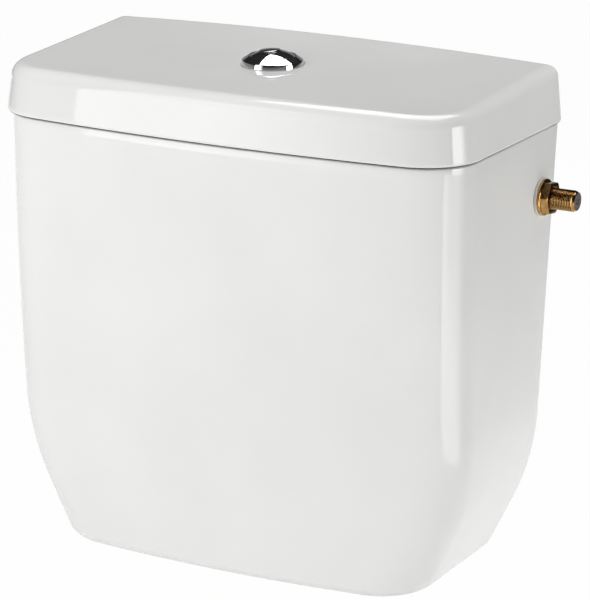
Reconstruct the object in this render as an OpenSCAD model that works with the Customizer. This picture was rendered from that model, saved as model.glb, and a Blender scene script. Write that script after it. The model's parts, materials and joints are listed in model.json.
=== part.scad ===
// Close-coupled toilet cistern: tank and lid, dual-flush button, drop valve and side-inlet float valve.
// Millimetres. Origin on the outlet axis in the plane of the underside; +X right, +Y to the wall, +Z up.

/* [Tank] */
// Width of the tank at its rim
tank_w = 391; // [360:1:420]
// Depth of the tank at its rim, front to back
tank_d = 204; // [190:1:220]
// Height of the tank from underside to rim
tank_h = 347; // [330:1:370]
// Width of the underside, measured where the slanted sides would meet it
base_w = 313; // [290:1:330]
// Depth of the underside, centred on the outlet
base_d = 154; // [144:1:164]
// How far the rim stands behind the underside at the back
back_lean = 27; // [15:1:35]
// Draft of the upper side walls in degrees
side_draft = 0.3; // [0:0.1:1]
// Slant of the lower side walls in degrees
lower_slant = 24.7; // [20:0.5:30]
// Radius of the bend between the upper and the lower side walls
shoulder_r = 180; // [120:5:220]
// Radius of the gentle bow of the front in plan
bow_r = 1500; // [1000:50:3000]
// Radius of that bow at the underside, where it is stronger
base_bow_r = 1050; // [700:50:3000]
// Radius of the upright front corners
corner_r = 44; // [30:1:55]
// Radius of the upright back corners
back_corner_r = 4.5; // [3:0.5:10]
// Radius of the back corners inside the tank
inner_corner_r = 3; // [2:0.5:8]
// Rounding of the underside's edge
base_round = 8; // [4:0.5:10]
// Thickness of the tank's walls
wall = 9; // [7:0.5:10]
// Thickness of the tank's floor
floor_t = 12; // [9:0.5:15]

/* [Lid] */
// How far the lid stands out over each side
overhang_side = 3.5; // [2:0.5:8]
// How far the lid stands out over the front
overhang_front = 6; // [2:0.5:10]
// How far the lid stands out over the back
overhang_back = 2; // [0:0.5:5]
// Height of the lid at its middle, above its lower edge
lid_h = 43; // [38:0.5:52]
// Shadow gap between the rim and the lid
lid_gap = 0.8; // [0.4:0.1:1.5]
// Thickness of the lid
lid_wall = 9; // [7:0.5:11]
// How far the lid's walls draw in towards the top
lid_draft = 3.3; // [1:0.1:6]
// Radius of the lid's back corners in plan
lid_back_corner_r = 9; // [4:0.5:14]
// Rounding of the lid's top edge
lid_round = 11; // [8:0.5:14]
// Rounding of the lid's lower edge
lid_edge_round = 3; // [1:0.5:4]
// Forward slope of the lid's top in degrees
lid_tilt = 2.5; // [0:0.1:3.5]
// Crown of the lid's top from side to side
lid_crown = 2; // [0:0.5:4]
// Extra rise of the lid's top at the middle of its back edge
lid_rise = 3; // [0:0.1:4]
// Depth of the lip that locates the lid in the rim
lip_depth = 8; // [5:0.5:10]
// Thickness of that lip
lip_t = 7; // [5:0.5:9]

/* [Flush button] */
// Radius of the button's bezel
bezel_r = 24.5; // [23.5:0.5:27]
// Height of the bezel's upright band
bezel_band = 4.4; // [3:0.1:6]
// How far that band leans in towards its top
bezel_taper = 0.8; // [0:0.1:1.5]
// Height of the bezel at its inner edge
bezel_h = 8.4; // [7:0.1:11]
// Radius of the full-flush button
full_r = 17.3; // [16.5:0.1:17.8]
// Height of its dome
dome_h = 4.6; // [4:0.1:8]
// Radius of the half-flush button inside it
half_r = 8.2; // [7.5:0.1:8.6]
// Sideways offset of the half-flush button
half_x = -2.4; // [-3:0.1:-2]
// Press travel of both buttons
press = 8; // [6:0.5:9]
// Length of the bezel's sleeve under the lid's top
sleeve_len = 36; // [33:1:40]
// Radius of the push rods
rod_r = 2.5; // [2:0.1:2.8]

/* [Outlet and pan joint] */
// Radius of the outlet hole in the tank's floor
outlet_hole_r = 32.5; // [31.5:0.5:35]
// Radius of the flush valve's threaded shank
shank_r = 29.8; // [28.5:0.1:30.5]
// Radius of the outlet bore
outlet_r = 24; // [21:0.5:25]
// How far the shank stands below the tank
shank_below = 17; // [15:0.5:25]
// Distance between the two pan bolts
bolt_gap = 156; // [140:1:180]
// Radius of the pan bolt holes
bolt_hole_r = 6.5; // [5:0.5:8]

/* [Drop valve] */
// Radius of the overflow tube
tube_r = 14; // [12.5:0.1:14.2]
// Wall of the overflow tube
tube_wall = 2.2; // [1.5:0.1:3]
// Outer radius of the valve cage
cage_r = 38; // [36.5:0.5:42]
// Height of the cage's top above the tank's floor
cage_h = 108; // [90:1:130]
// Distance of the push keys' top below the rim
key_drop = 30; // [26:0.5:40]
// Length of each rocker from its pin to the key's foot
rocker_in = 17; // [15:0.5:19]
// Length of the full rocker from its pin to its tip
full_out = 33; // [31:0.5:35]
// Length of the half rocker from its pin to its tip
half_out = 21; // [20:0.5:23]

/* [Water inlet] */
// Distance of the inlet's axis from the back of the rim
inlet_back = 31; // [28:1:38]
// Height of the inlet's axis below the rim
inlet_drop = 52.5; // [48:0.5:60]
// Radius of the inlet's threaded tail, for a G 3/8 union
tail_r = 8.33; // [8.33]
// Length of the tail outside the tank
tail_len = 30.2; // [26:0.1:36]
// Radius of the water way through the tail
water_r = 4.5; // [3.5:0.1:5.5]
// Radius of the outer washer
washer_r = 15.2; // [14.8:0.1:18]
// Size of the inlet nut across its flats
nut_af = 23.5; // [22:0.5:26]
// How far the inlet nut's flange stays inside the washer
nut_step = 0.7; // [0.2:0.1:1.5]
// Turn of the nut's hexagon in degrees
nut_turn = 22; // [0:1:59]

/* [Float valve] */
// Radius of the float valve's body
body_r = 13; // [12:0.5:14]
// Radius of the float
float_r = 25; // [20:0.5:27]
// Height of the float
float_h = 46; // [38:1:52]
// Angle the float arm hangs below level while the tank is empty
arm_drop = 25; // [15:1:28]
// Opening travel of the plunger
plunger_travel = 3.5; // [2:0.5:3.5]
// Radius of the silencer tube
silencer_r = 8; // [7:0.5:9]
// Length of the silencer tube
silencer_len = 210; // [150:5:225]

/* [Hidden] */
$fn = 64;
// Clearance between pieces that move past one another
slip = 0.4;
// Clearance round pins that turn in a hole
run = 0.05;
// Rest gap where one piece will push another
touch = 0.4;

// Steps of the lofted skins
bow_n = 6;
corner_n = 8;
back_n = 4;
round_n = 4;
wall_n = 18;
wall_bias = 1.5;
min_corner_r = 1;

// Tank outline
back_top = base_d / 2 + back_lean;
front_top = back_top - tank_d;
front_lean = -base_d / 2 - front_top;
function upper_line(z) = tank_w / 2 - tan(side_draft) * (tank_h - z);
function lower_line(z) = base_w / 2 + tan(lower_slant) * z;
knee_z = (upper_line(0) - base_w / 2) / (tan(lower_slant) - tan(side_draft));
knee_t = shoulder_r * tan((lower_slant - side_draft) / 2);
arc_top = knee_z + knee_t * cos(side_draft);
arc_bottom = knee_z - knee_t * cos(lower_slant);
arc_x = upper_line(arc_top) - shoulder_r * cos(side_draft);
arc_z = arc_top + shoulder_r * sin(side_draft);
function half_at(z) =
    z >= arc_top ? upper_line(z)
    : z <= arc_bottom ? lower_line(z)
    : arc_x + sqrt(pow(shoulder_r, 2) - pow(z - arc_z, 2));
function front_at(z) = front_top + front_lean * pow(1 - z / tank_h, 2);
function back_at(z) = back_top - back_lean * (1 - z / tank_h);
function bow_at(z) = 1 / (1 / bow_r + (1 / base_bow_r - 1 / bow_r) * (1 - z / tank_h));

// Plan outline with a bowed front, round front corners and small back corners, counter-clockwise
function half_outline(hw, front, back, rc, rk, bow) =
    let (xc = hw - rc, cy = front + bow)
    let (yc = cy - sqrt(pow(bow - rc, 2) - xc * xc), phi = atan2(xc, cy - yc))
    concat(
        [for (i = [0:bow_n]) let (t = phi * i / bow_n) [bow * sin(t), cy - bow * cos(t)]],
        [for (i = [1:corner_n]) let (a = phi + (90 - phi) * i / corner_n)
            [xc + rc * sin(a), yc - rc * cos(a)]],
        [for (i = [0:back_n]) let (a = 90 * i / back_n) [hw - rk + rk * cos(a), back - rk + rk * sin(a)]],
        [[0, back]]
    );
function outline(hw, front, back, rc, rk, bow = bow_r) =
    let (h = half_outline(hw, front, back, rc, rk, bow))
    concat(h, [for (i = [len(h) - 2:-1:1]) [-h[i][0], h[i][1]]]);
function at_height(points, z) = [for (p = points) [p[0], p[1], z]];
function tank_ring(z, inset) =
    at_height(outline(half_at(z) - inset, front_at(z) + inset, back_at(z) - inset,
                      corner_r - inset, max(back_corner_r - inset, min_corner_r), bow_at(z)), z);
function cavity_ring(z) =
    at_height(outline(half_at(z) - wall, front_at(z) + wall, back_at(z) - wall,
                      corner_r - wall, inner_corner_r, bow_at(z)), z);

// Closed skin through a list of rings with the same number of points, capped by fans at both ends
module skin(rings) {
    n = len(rings[0]);
    m = len(rings);
    points = concat([for (r = rings) each r], [mean(rings[0]), mean(rings[m - 1])]);
    faces = concat(
        [for (i = [0:m - 2], j = [0:n - 1]) [i * n + j, (i + 1) * n + j, (i + 1) * n + (j + 1) % n]],
        [for (i = [0:m - 2], j = [0:n - 1]) [i * n + j, (i + 1) * n + (j + 1) % n, i * n + (j + 1) % n]],
        [for (j = [0:n - 1]) [m * n, j, (j + 1) % n]],
        [for (j = [0:n - 1]) [m * n + 1, (m - 1) * n + (j + 1) % n, (m - 1) * n + j]]
    );
    polyhedron(points, faces, convexity = 6);
}
function mean(v) = [for (k = [0:2]) [for (p = v) p[k]] * [for (p = v) 1] / len(v)];

// Lid outline and surfaces
lid_z = tank_h + lid_gap;
lid_half = tank_w / 2 + overhang_side;
lid_front = front_top - overhang_front;
lid_back = back_top + overhang_back;
lid_mid = (lid_front + lid_back) / 2;
function lid_top(p) =
    lid_z + lid_h + tan(lid_tilt) * p[1] - lid_crown * pow(p[0] / lid_half, 2)
    + lid_rise * (1 - pow(p[0] / lid_half, 2)) * pow(max(p[1], 0) / lid_back, 2);
function lid_plan(s) =
    outline(lid_half - s, lid_front + s, lid_back - s,
            max(corner_r + overhang_side - s, 8), max(lid_back_corner_r - s, 2));
function lid_ring(s, drop) = [for (p = lid_plan(s)) [p[0], p[1], lid_top(p) - drop]];
function lid_shrunk(s, k, drop) =
    [for (p = lid_plan(s)) let (q = [p[0] * k, lid_mid + (p[1] - lid_mid) * k])
        [q[0], q[1], lid_top(q) - drop]];
lip_gap = 2.5;
lip_out = wall + lip_gap;
lip_in = lip_out + lip_t;
cavity = lid_draft + lid_wall;
cavity_cove = 8;
function lip_ring(s, z) =
    at_height(outline(tank_w / 2 - s, front_top + s, back_top - s,
                      corner_r - s, max(inner_corner_r + wall - s, 2)), z);

// Button places, on a flat seat cut into the sloping lid
button_hole_r = 20.3;
bezel_bore = full_r + slip;
sleeve_r = button_hole_r - slip;
seat_z = lid_top([0, 0]) - tan(lid_tilt) * bezel_r - 0.2;
nut_r = 27;
nut_h = 8;
under_z = lid_top([0, 0]) - lid_wall + tan(lid_tilt) * nut_r;
nut_z = under_z - nut_h - 0.1;
bezel_edge = 0.8;
bezel_floor_t = 2.5;
bezel_floor_z = seat_z - sleeve_len;
spring_z = bezel_floor_z + bezel_floor_t;
full_edge_z = seat_z + bezel_h - 0.8;
full_top_z = full_edge_z + dome_h;
dome_r = (full_r * full_r + dome_h * dome_h) / (2 * dome_h);
half_proud = 0.7;
skirt_len = 18;
cap_t = 2.2;
rod_x = (half_x + half_r + slip + full_r) / 2;
boss_r = 4.3;
full_boss_z = full_edge_z - skirt_len - 1.5;
half_boss_z = seat_z - 10;

// Drop valve heights and places, from the floor up and from the keys down
gasket_t = 2;
seat_flange_t = 5;
flange_r = 40;
cage_z = floor_t + gasket_t + seat_flange_t;
cage_wall = 2.6;
lip_z = cage_z + 13;
lip_r = outlet_r + 4;
seal_t = 3;
seal_r = lip_r + 3;
cage_top = floor_t + cage_h;
cage_top_t = 4;
key_top = tank_h - key_drop;
key_t = 4;
bridge_t = 4;
bridge_top = key_top - key_t - press - 1;
tip_r = 3;
hub_r = 5;
pin_r = 2;
arm_t = 5;
fork_t = 3;
fork_gap = 0.6;
sleeve_wall = 2.6;
yoke_r = tube_r + slip + sleeve_wall;
full_fork_y = yoke_r + 1;
half_fork_y = full_fork_y + fork_t + fork_gap;
bracket_y = half_fork_y + fork_t + fork_gap;
collar_r = full_fork_y + fork_t + 1;
fork_tip_x = -3;
full_pin_x = fork_tip_x + full_out;
half_pin_x = fork_tip_x - half_out;
full_key_x = full_pin_x + rocker_in;
half_key_x = half_pin_x - rocker_in;
full_lift = press * full_out / rocker_in;
half_lift = press * half_out / rocker_in;
collar_t = 3;
tube_above = 9;
tube_top = bridge_top - full_lift - half_lift - touch;
collar_z = tube_top - tube_above - collar_t;
full_pin_z = collar_z - touch - 0.4 - tip_r;
ear_t = 4;
ear_z = full_pin_z - arm_t / 2 - half_lift - 1.2 - ear_t;
half_pin_z = ear_z - touch - 0.4 - tip_r;
column_t = 5;
column_w = 12;
column_y = bracket_y + fork_t + 1;
bridge_x = full_key_x + 6;
stem_w = 6;
stem_d = 10;
bracket_w = 12;

// Water inlet along X on the right wall
inlet_y = back_top - inlet_back;
inlet_z = tank_h - inlet_drop;
shank_flange_r = 14.5;
wall_x = half_at(inlet_z + washer_r);
inner_x = half_at(inlet_z - shank_flange_r) - wall;
washer_t = 2;
nut_flange_t = 2.6;
nut_hex_t = 6;
inlet_gasket_t = 2;
shank_flange_t = 3.5;
spigot_len = 14;
spigot_r = tail_r - 0.6;
tail_end = wall_x + tail_len;
tail_chamfer = 1;
nut_face = wall_x + washer_t + nut_flange_t + nut_hex_t;
relief_depth = 0.5;
relief_in = 1;
relief_out = 0.5;
shank_in = inner_x - inlet_gasket_t - shank_flange_t;
filter_r = tail_r - tail_chamfer - 0.7;
filter_t = 1.2;
filter_len = 12;

// Float valve, placed from the inner wall
valve_len = 40;
body_end = shank_in - valve_len;
diaphragm_t = 1.6;
cap_wall = 2.6;
cap_len = 12;
cap_front = 3;
cap_end = body_end - diaphragm_t - slip - cap_front;
pin_reach = 7;
pin_drop = 11;
arm_pin_x = cap_end - pin_reach;
arm_pin_z = inlet_z - pin_drop;
arm_pin_r = 2;
plunger_r = 2.4;
plunger_len = 12;
plunger_shut = body_end - diaphragm_t - touch - plunger_len;
port_r = silencer_r + 2.4;
port_x = cap_end + cap_front + cap_len + port_r + 1;
port_reach = 17;
port_drop = 7;
port_y = inlet_y - port_reach;
port_z = inlet_z - body_r - port_drop;
float_gap = 20;
float_side = 17;
float_drop = 3;
float_x = bridge_x + float_gap;
float_y = inlet_y - float_side;
float_top = arm_pin_z - float_drop;
arm_r = 2.6;
stem_r = 2.5;

module along_x(x, y, z) {
    translate([x, y, z]) rotate([0, 90, 0]) children();
}

module along_y(x, y, z) {
    translate([x, y, z]) rotate([-90, 0, 0]) children();
}

// Ring of a given height from its two radii
module tube(ro, ri, h) {
    difference() {
        cylinder(r = ro, h = h);
        translate([0, 0, -1]) cylinder(r = ri, h = h + 2);
    }
}

// Box given by its corner and its far corner
module block(a, b) {
    translate(a) cube(b - a);
}

// Round wire along a helix, closed at both ends
module coil(r, wire, length, turns) {
    ring_n = 8;
    side_n = 6;
    steps = turns * ring_n;
    rise = length - 2 * wire;
    function place(i) = let (a = 360 * i / ring_n) [r * cos(a), r * sin(a), wire + rise * i / steps];
    function section(i) =
        let (c = place(i), a = 360 * i / ring_n)
        [for (k = [side_n - 1:-1:0]) let (b = 360 * k / side_n)
            c + wire * [cos(b) * cos(a), cos(b) * sin(a), sin(b)]];
    skin([for (i = [0:steps]) section(i)]);
}

module tank() {
    inner = [for (i = [wall_n:-1:0]) floor_t + (tank_h - floor_t) * pow(i / wall_n, wall_bias)];
    color("whitesmoke") difference() {
        skin(concat(
            [for (i = [0:round_n]) let (t = 90 * i / round_n, z = base_round * (1 - cos(t)))
                tank_ring(z, base_round * (1 - sin(t)))],
            [for (i = [1:wall_n])
                tank_ring(base_round + (tank_h - base_round) * pow(i / wall_n, wall_bias), 0)],
            [for (z = inner) cavity_ring(z)]
        ));
        translate([0, 0, -1]) cylinder(r = outlet_hole_r, h = floor_t + 2);
        for (s = [-1, 1]) translate([s * bolt_gap / 2, 0, -1]) cylinder(r = bolt_hole_r, h = floor_t + 2);
        along_x(inner_x - 3, inlet_y, inlet_z) cylinder(r = tail_r + 0.7, h = wall + 6);
    }
}

module lid() {
    color("whitesmoke") difference() {
        skin(concat(
            [lid_shrunk(cavity + cavity_cove, 0.5, lid_wall)],
            [lid_ring(cavity + cavity_cove, lid_wall)],
            [lid_ring(cavity, lid_wall + cavity_cove)],
            [at_height(lid_plan(cavity), lid_z + cavity_cove)],
            [lip_ring(lip_in, lid_z)],
            [lip_ring(lip_in, lid_z - lip_depth)],
            [lip_ring(lip_out, lid_z - lip_depth)],
            [lip_ring(lip_out, lid_z)],
            [for (i = [0:round_n]) let (t = 90 * i / round_n)
                at_height(lid_plan(lid_edge_round * (1 - sin(t))), lid_z + lid_edge_round * (1 - cos(t)))],
            [for (i = [0:round_n + 1]) let (t = 90 * i / (round_n + 1))
                lid_ring(lid_draft + lid_round * (1 - cos(t)), lid_round * (1 - sin(t)))],
            [for (k = [0.66, 0.33]) lid_shrunk(lid_draft + lid_round, k, 0)]
        ));
        translate([0, 0, lid_z]) cylinder(r = button_hole_r, h = lid_h * 2);
        translate([0, 0, seat_z]) cylinder(r = bezel_r + slip, h = lid_h);
        translate([0, 0, lid_z]) cylinder(r = nut_r + 2, h = under_z - lid_z);
    }
}

module button_bezel() {
    color("silver") difference() {
        rotate_extrude() polygon([
            [0, bezel_floor_z], [sleeve_r, bezel_floor_z], [sleeve_r, seat_z], [bezel_r - 0.5, seat_z],
            [bezel_r, seat_z + 0.5], [bezel_r - bezel_taper, seat_z + bezel_band],
            [bezel_r - bezel_taper - bezel_edge, seat_z + bezel_band + bezel_edge],
            [bezel_bore + bezel_edge, seat_z + bezel_h], [bezel_bore, seat_z + bezel_h - bezel_edge / 2],
            [bezel_bore, spring_z], [0, spring_z]
        ]);
        translate([rod_x, 0, bezel_floor_z - 1]) cylinder(r = rod_r + slip, h = bezel_floor_t + 2);
        translate([half_x, 0, bezel_floor_z - 1]) cylinder(r = rod_r + slip, h = bezel_floor_t + 2);
    }
}

module bezel_nut() {
    wing_r = 3;
    color("white") difference() {
        union() {
            translate([0, 0, nut_z]) cylinder(r = nut_r - wing_r, h = nut_h);
            for (a = [0:60:300]) rotate(a) translate([nut_r - wing_r, 0, nut_z])
                cylinder(r = wing_r, h = nut_h);
        }
        translate([0, 0, nut_z - 1]) cylinder(r = sleeve_r + 0.1, h = nut_h + 2);
    }
}

module full_flush_button() {
    color("silver") difference() {
        union() {
            difference() {
                intersection() {
                    translate([0, 0, full_edge_z - skirt_len])
                        cylinder(r = full_r, h = skirt_len + dome_h + 1);
                    translate([0, 0, full_top_z - dome_r]) sphere(r = dome_r);
                }
                translate([0, 0, full_edge_z - skirt_len - 1])
                    cylinder(r = full_r - cap_t, h = skirt_len + 1 - cap_t);
            }
            translate([half_x, 0, full_edge_z - skirt_len]) cylinder(r = half_r + slip + 1.6, h = skirt_len);
            translate([rod_x, 0, full_boss_z]) cylinder(r = boss_r, h = full_edge_z - full_boss_z);
        }
        translate([half_x, 0, full_edge_z - skirt_len - 1])
            cylinder(r = half_r + slip, h = skirt_len + dome_h + 4);
        translate([rod_x, 0, full_boss_z - 1]) cylinder(r = rod_r + run, h = full_edge_z - full_boss_z);
    }
}

module half_flush_button() {
    color("silver") difference() {
        intersection() {
            translate([half_x, 0, half_boss_z])
                cylinder(r = half_r, h = full_top_z + half_proud - half_boss_z);
            translate([0, 0, full_top_z - dome_r]) sphere(r = dome_r + half_proud);
        }
        translate([half_x, 0, half_boss_z - 1]) tube(half_r - 1.6, boss_r, full_edge_z - half_boss_z);
        translate([half_x, 0, half_boss_z - 1]) cylinder(r = rod_r + run, h = full_edge_z - half_boss_z);
    }
}

module push_rod(x) {
    foot_r = rod_r + 0.8;
    translate([x, 0, key_top + touch]) {
        cylinder(r = rod_r, h = full_edge_z - 1 - key_top - touch);
        cylinder(r = foot_r, h = 6);
    }
}

module full_push_rod() {
    color("gainsboro") push_rod(rod_x);
}

module half_push_rod() {
    color("gainsboro") push_rod(half_x);
}

spring_wire = 0.6;
spring_r = rod_r + slip + spring_wire + 0.5;
spring_turns = 6;

module full_return_spring() {
    color("lightgray") translate([rod_x, 0, spring_z + 0.1])
        coil(spring_r, spring_wire, full_boss_z - spring_z - 0.2, spring_turns);
}

module half_return_spring() {
    color("lightgray") translate([half_x, 0, spring_z + 0.1])
        coil(spring_r, spring_wire, half_boss_z - spring_z - 0.2, spring_turns);
}

module flush_valve_seat() {
    shelf_z = floor_t + gasket_t;
    color("white") difference() {
        rotate_extrude() polygon([
            [outlet_r, -shank_below], [shank_r - 1, -shank_below], [shank_r, 1 - shank_below],
            [shank_r, shelf_z],
            [flange_r, shelf_z], [flange_r, cage_z], [lip_r + 1.5, cage_z], [lip_r, cage_z + 2],
            [lip_r, lip_z - 1], [lip_r - 1, lip_z], [lip_r - 2, lip_z], [outlet_r, lip_z - 3]
        ]);
        for (a = [45:90:315]) rotate(a) translate([flange_r, 0, shelf_z - 1])
            cylinder(r = 2, h = seat_flange_t + 2);
    }
}

module seat_gasket() {
    color("dimgray") translate([0, 0, floor_t]) tube(flange_r, shank_r + 0.2, gasket_t);
}

backnut_h = 10;
under_washer_t = 2;

module outlet_washer() {
    color("dimgray") translate([0, 0, -under_washer_t]) tube(flange_r - 2, shank_r + 0.2, under_washer_t);
}

module outlet_backnut() {
    lug_r = 2.6;
    collar_h = 3;
    ring_r = shank_r + 5;
    z = -under_washer_t - backnut_h;
    color("white") difference() {
        union() {
            translate([0, 0, z]) cylinder(r = ring_r, h = backnut_h);
            translate([0, 0, -under_washer_t - collar_h]) cylinder(r = flange_r - 2, h = collar_h);
            for (a = [0:45:315]) rotate(a) translate([ring_r, 0, z])
                cylinder(r = lug_r, h = backnut_h - collar_h / 2);
        }
        translate([0, 0, z - 1]) cylinder(r = shank_r + 0.1, h = backnut_h + 2);
    }
}

module valve_cage() {
    window_w = 30;
    window_h = 48;
    window_top = cage_z + window_h;
    slot_top = cage_top - 16;
    color("lightsteelblue") difference() {
        rotate_extrude() polygon([
            [cage_r - cage_wall, cage_z], [cage_r, cage_z], [cage_r, cage_top - 8], [cage_r - 8, cage_top],
            [tube_r + slip, cage_top], [tube_r + slip, cage_top - cage_top_t],
            [cage_r - 9, cage_top - cage_top_t], [cage_r - cage_wall, cage_top - 9]
        ]);
        for (a = [0:90:270]) rotate(a)
            block([0, -window_w / 2, cage_z + 4], [cage_r + 1, window_w / 2, window_top]);
        for (a = [45:90:315]) rotate(a)
            block([0, -4, window_top + 10], [cage_r + 1, 4, slot_top]);
        for (a = [45:90:315]) rotate(a) translate([tube_r + 7, 0, cage_top - cage_top_t - 1])
            cylinder(r = 3, h = cage_top_t + 2);
    }
}

module valve_frame() {
    foot_r = column_y + column_t;
    bracket_z = full_pin_z - hub_r - 2;
    half_bracket_z = half_pin_z - hub_r - 2;
    slot = stem_w / 2 + slip;
    slot_d = stem_d / 2 + slip;
    color("lightsteelblue") difference() {
        union() {
            for (s = [-1, 1]) {
                y0 = s > 0 ? column_y : -column_y - column_t;
                block([-column_w / 2, y0, cage_top], [column_w / 2, y0 + column_t, bridge_top]);
                block([-column_w, s > 0 ? column_y - 8 : -column_y - column_t, cage_top],
                      [column_w, s > 0 ? column_y + column_t : -column_y + 8, cage_top + 3]);
                yb = s > 0 ? half_fork_y : -half_fork_y - fork_t;
                block([full_pin_x - bracket_w / 2, yb, bracket_z],
                      [full_pin_x + bracket_w / 2, yb + fork_t, bridge_top]);
                yh = s > 0 ? bracket_y : -bracket_y - fork_t;
                block([half_pin_x - bracket_w / 2, yh, half_bracket_z],
                      [half_pin_x + bracket_w / 2, yh + fork_t, bridge_top]);
            }
            block([-bridge_x, -stem_d, bridge_top - bridge_t], [bridge_x, stem_d, bridge_top]);
            block([half_pin_x - bracket_w / 2, -foot_r, bridge_top - bridge_t],
                  [full_pin_x + bracket_w / 2, foot_r, bridge_top]);
        }
        translate([0, 0, bridge_top - bridge_t - 1]) cylinder(r = tube_r + 3, h = bridge_t + 2);
        for (x = [full_key_x, half_key_x])
            block([x - slot, -slot_d, bridge_top - bridge_t - 1], [x + slot, slot_d, bridge_top + 1]);
        along_y(full_pin_x, -foot_r, full_pin_z) cylinder(r = pin_r + run, h = 2 * foot_r);
        along_y(half_pin_x, -foot_r, half_pin_z) cylinder(r = pin_r + run, h = 2 * foot_r);
    }
}

module overflow_tube() {
    color("white") union() {
        translate([0, 0, lip_z + touch + seal_t])
            tube(tube_r, tube_r - tube_wall, tube_top - lip_z - touch - seal_t);
        translate([0, 0, lip_z + touch + seal_t]) tube(seal_r - 2, tube_r - tube_wall, 3);
        translate([0, 0, collar_z]) tube(collar_r, tube_r - tube_wall, collar_t);
        for (a = [0:90:270]) rotate(a)
            block([tube_r - 1, -1, lip_z + touch + seal_t], [seal_r - 4, 1, lip_z + touch + seal_t + 14]);
    }
}

module valve_seal() {
    color("dimgray") translate([0, 0, lip_z + touch]) tube(seal_r, tube_r - tube_wall + 1, seal_t);
}

module seal_retainer() {
    fin_r = outlet_r - 1.5;
    depth = 12;
    top = lip_z + touch;
    color("white") difference() {
        union() {
            rotate_extrude() polygon([
                [tube_r - tube_wall - 2, top - depth], [tube_r - tube_wall + 1, top - depth],
                [tube_r + 4, top - 4], [tube_r + 4, top], [tube_r - tube_wall - 2, top]
            ]);
            for (a = [0:60:300]) rotate(a) block([tube_r - 2, -0.8, top - depth], [fin_r, 0.8, top - 2]);
        }
        translate([0, 0, top - depth - 1]) cylinder(r = tube_r - tube_wall - 2, h = depth + 2);
    }
}

half_float_h = 34;
half_float_rise = 22;
half_float_z = cage_top + half_float_rise;

module half_flush_float() {
    color("orange") difference() {
        translate([0, 0, half_float_z]) rotate_extrude() polygon([
            [tube_r, 0], [tube_r + 7, 0], [tube_r + 9, 2], [tube_r + 9, half_float_h - 2],
            [tube_r + 7, half_float_h], [tube_r, half_float_h]
        ]);
        block([tube_r + 2, -2, half_float_z - 1], [tube_r + 10, 2, half_float_z + half_float_h + 1]);
    }
}

module lift_yoke() {
    bore = tube_r + slip;
    ear_y = half_fork_y + fork_t + 0.2;
    color("lightsteelblue") difference() {
        union() {
            translate([0, 0, ear_z]) cylinder(r = yoke_r, h = collar_z - touch - ear_z);
            block([-4, -ear_y, ear_z], [4, ear_y, ear_z + ear_t]);
        }
        translate([0, 0, ear_z - 1]) cylinder(r = bore, h = collar_z - ear_z + 2);
    }
}

// Fork of one rocker: two arms, round tips, bored hubs and a round bar under the key's foot
module rocker(tip_x, pin_x, key_x, z, y) {
    difference() {
        union() {
            for (s = [-1, 1]) {
                y0 = s > 0 ? y : -y - fork_t;
                block([min(tip_x, key_x), y0, z - arm_t / 2],
                      [max(tip_x, key_x), y0 + fork_t, z + arm_t / 2]);
                along_y(tip_x, y0, z) cylinder(r = tip_r, h = fork_t);
                along_y(pin_x, y0, z) cylinder(r = hub_r, h = fork_t);
            }
            along_y(key_x, -y - fork_t, z) cylinder(r = tip_r, h = 2 * (y + fork_t));
        }
        along_y(pin_x, -y - fork_t - 1, z) cylinder(r = pin_r + run, h = 2 * (y + fork_t) + 2);
    }
}

module full_rocker() {
    color("royalblue") rocker(fork_tip_x, full_pin_x, full_key_x, full_pin_z, full_fork_y);
}

module half_rocker() {
    color("royalblue") rocker(fork_tip_x, half_pin_x, half_key_x, half_pin_z, half_fork_y);
}

module full_rocker_pin() {
    reach = half_fork_y + fork_t;
    color("silver") along_y(full_pin_x, -reach, full_pin_z) cylinder(r = pin_r, h = 2 * reach);
}

module half_rocker_pin() {
    reach = bracket_y + fork_t;
    color("silver") along_y(half_pin_x, -reach, half_pin_z) cylinder(r = pin_r, h = 2 * reach);
}

// Push key: a bar under its rod and a stem down to the rocker's bar
module key(pad_x, stem_x, rocker_z) {
    foot = rocker_z + tip_r + touch;
    pad_r = 4;
    block([min(pad_x, stem_x), -pad_r, key_top - key_t], [max(pad_x, stem_x), pad_r, key_top]);
    translate([pad_x, 0, key_top - key_t]) cylinder(r = pad_r, h = key_t);
    block([stem_x - stem_w / 2, -stem_d / 2, foot], [stem_x + stem_w / 2, stem_d / 2, key_top]);
}

module full_key() {
    color("royalblue") key(rod_x, full_key_x, full_pin_z);
}

module half_key() {
    color("royalblue") key(half_x, half_key_x, half_pin_z);
}

module inlet_shank() {
    color("darkgoldenrod") along_x(0, inlet_y, inlet_z) rotate_extrude() polygon([
        [water_r, shank_in - spigot_len], [spigot_r, shank_in - spigot_len], [spigot_r, shank_in],
        [shank_flange_r, shank_in], [shank_flange_r, shank_in + shank_flange_t],
        [tail_r, shank_in + shank_flange_t],
        [tail_r, nut_face - relief_in - relief_depth], [tail_r - relief_depth, nut_face - relief_in],
        [tail_r - relief_depth, nut_face + relief_out - relief_depth], [tail_r, nut_face + relief_out],
        [tail_r, tail_end - tail_chamfer], [tail_r - tail_chamfer, tail_end], [filter_r, tail_end],
        [filter_r, tail_end - filter_t], [water_r, tail_end - filter_t]
    ]);
}

module inlet_filter() {
    hole_r = 0.7;
    color("gray") along_x(0, inlet_y, inlet_z) difference() {
        union() {
            translate([0, 0, tail_end - filter_t]) cylinder(r = filter_r - 0.1, h = filter_t);
            translate([0, 0, tail_end - filter_len]) cylinder(r = water_r - 0.4, h = filter_len - filter_t);
        }
        translate([0, 0, tail_end - filter_len + 1]) cylinder(r = water_r - 1.4, h = filter_len - 2);
        for (a = [0:60:300]) rotate(a) translate([water_r / 2 - 0.4, 0, tail_end - 2])
            cylinder(r = hole_r, h = 3);
    }
}

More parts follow.
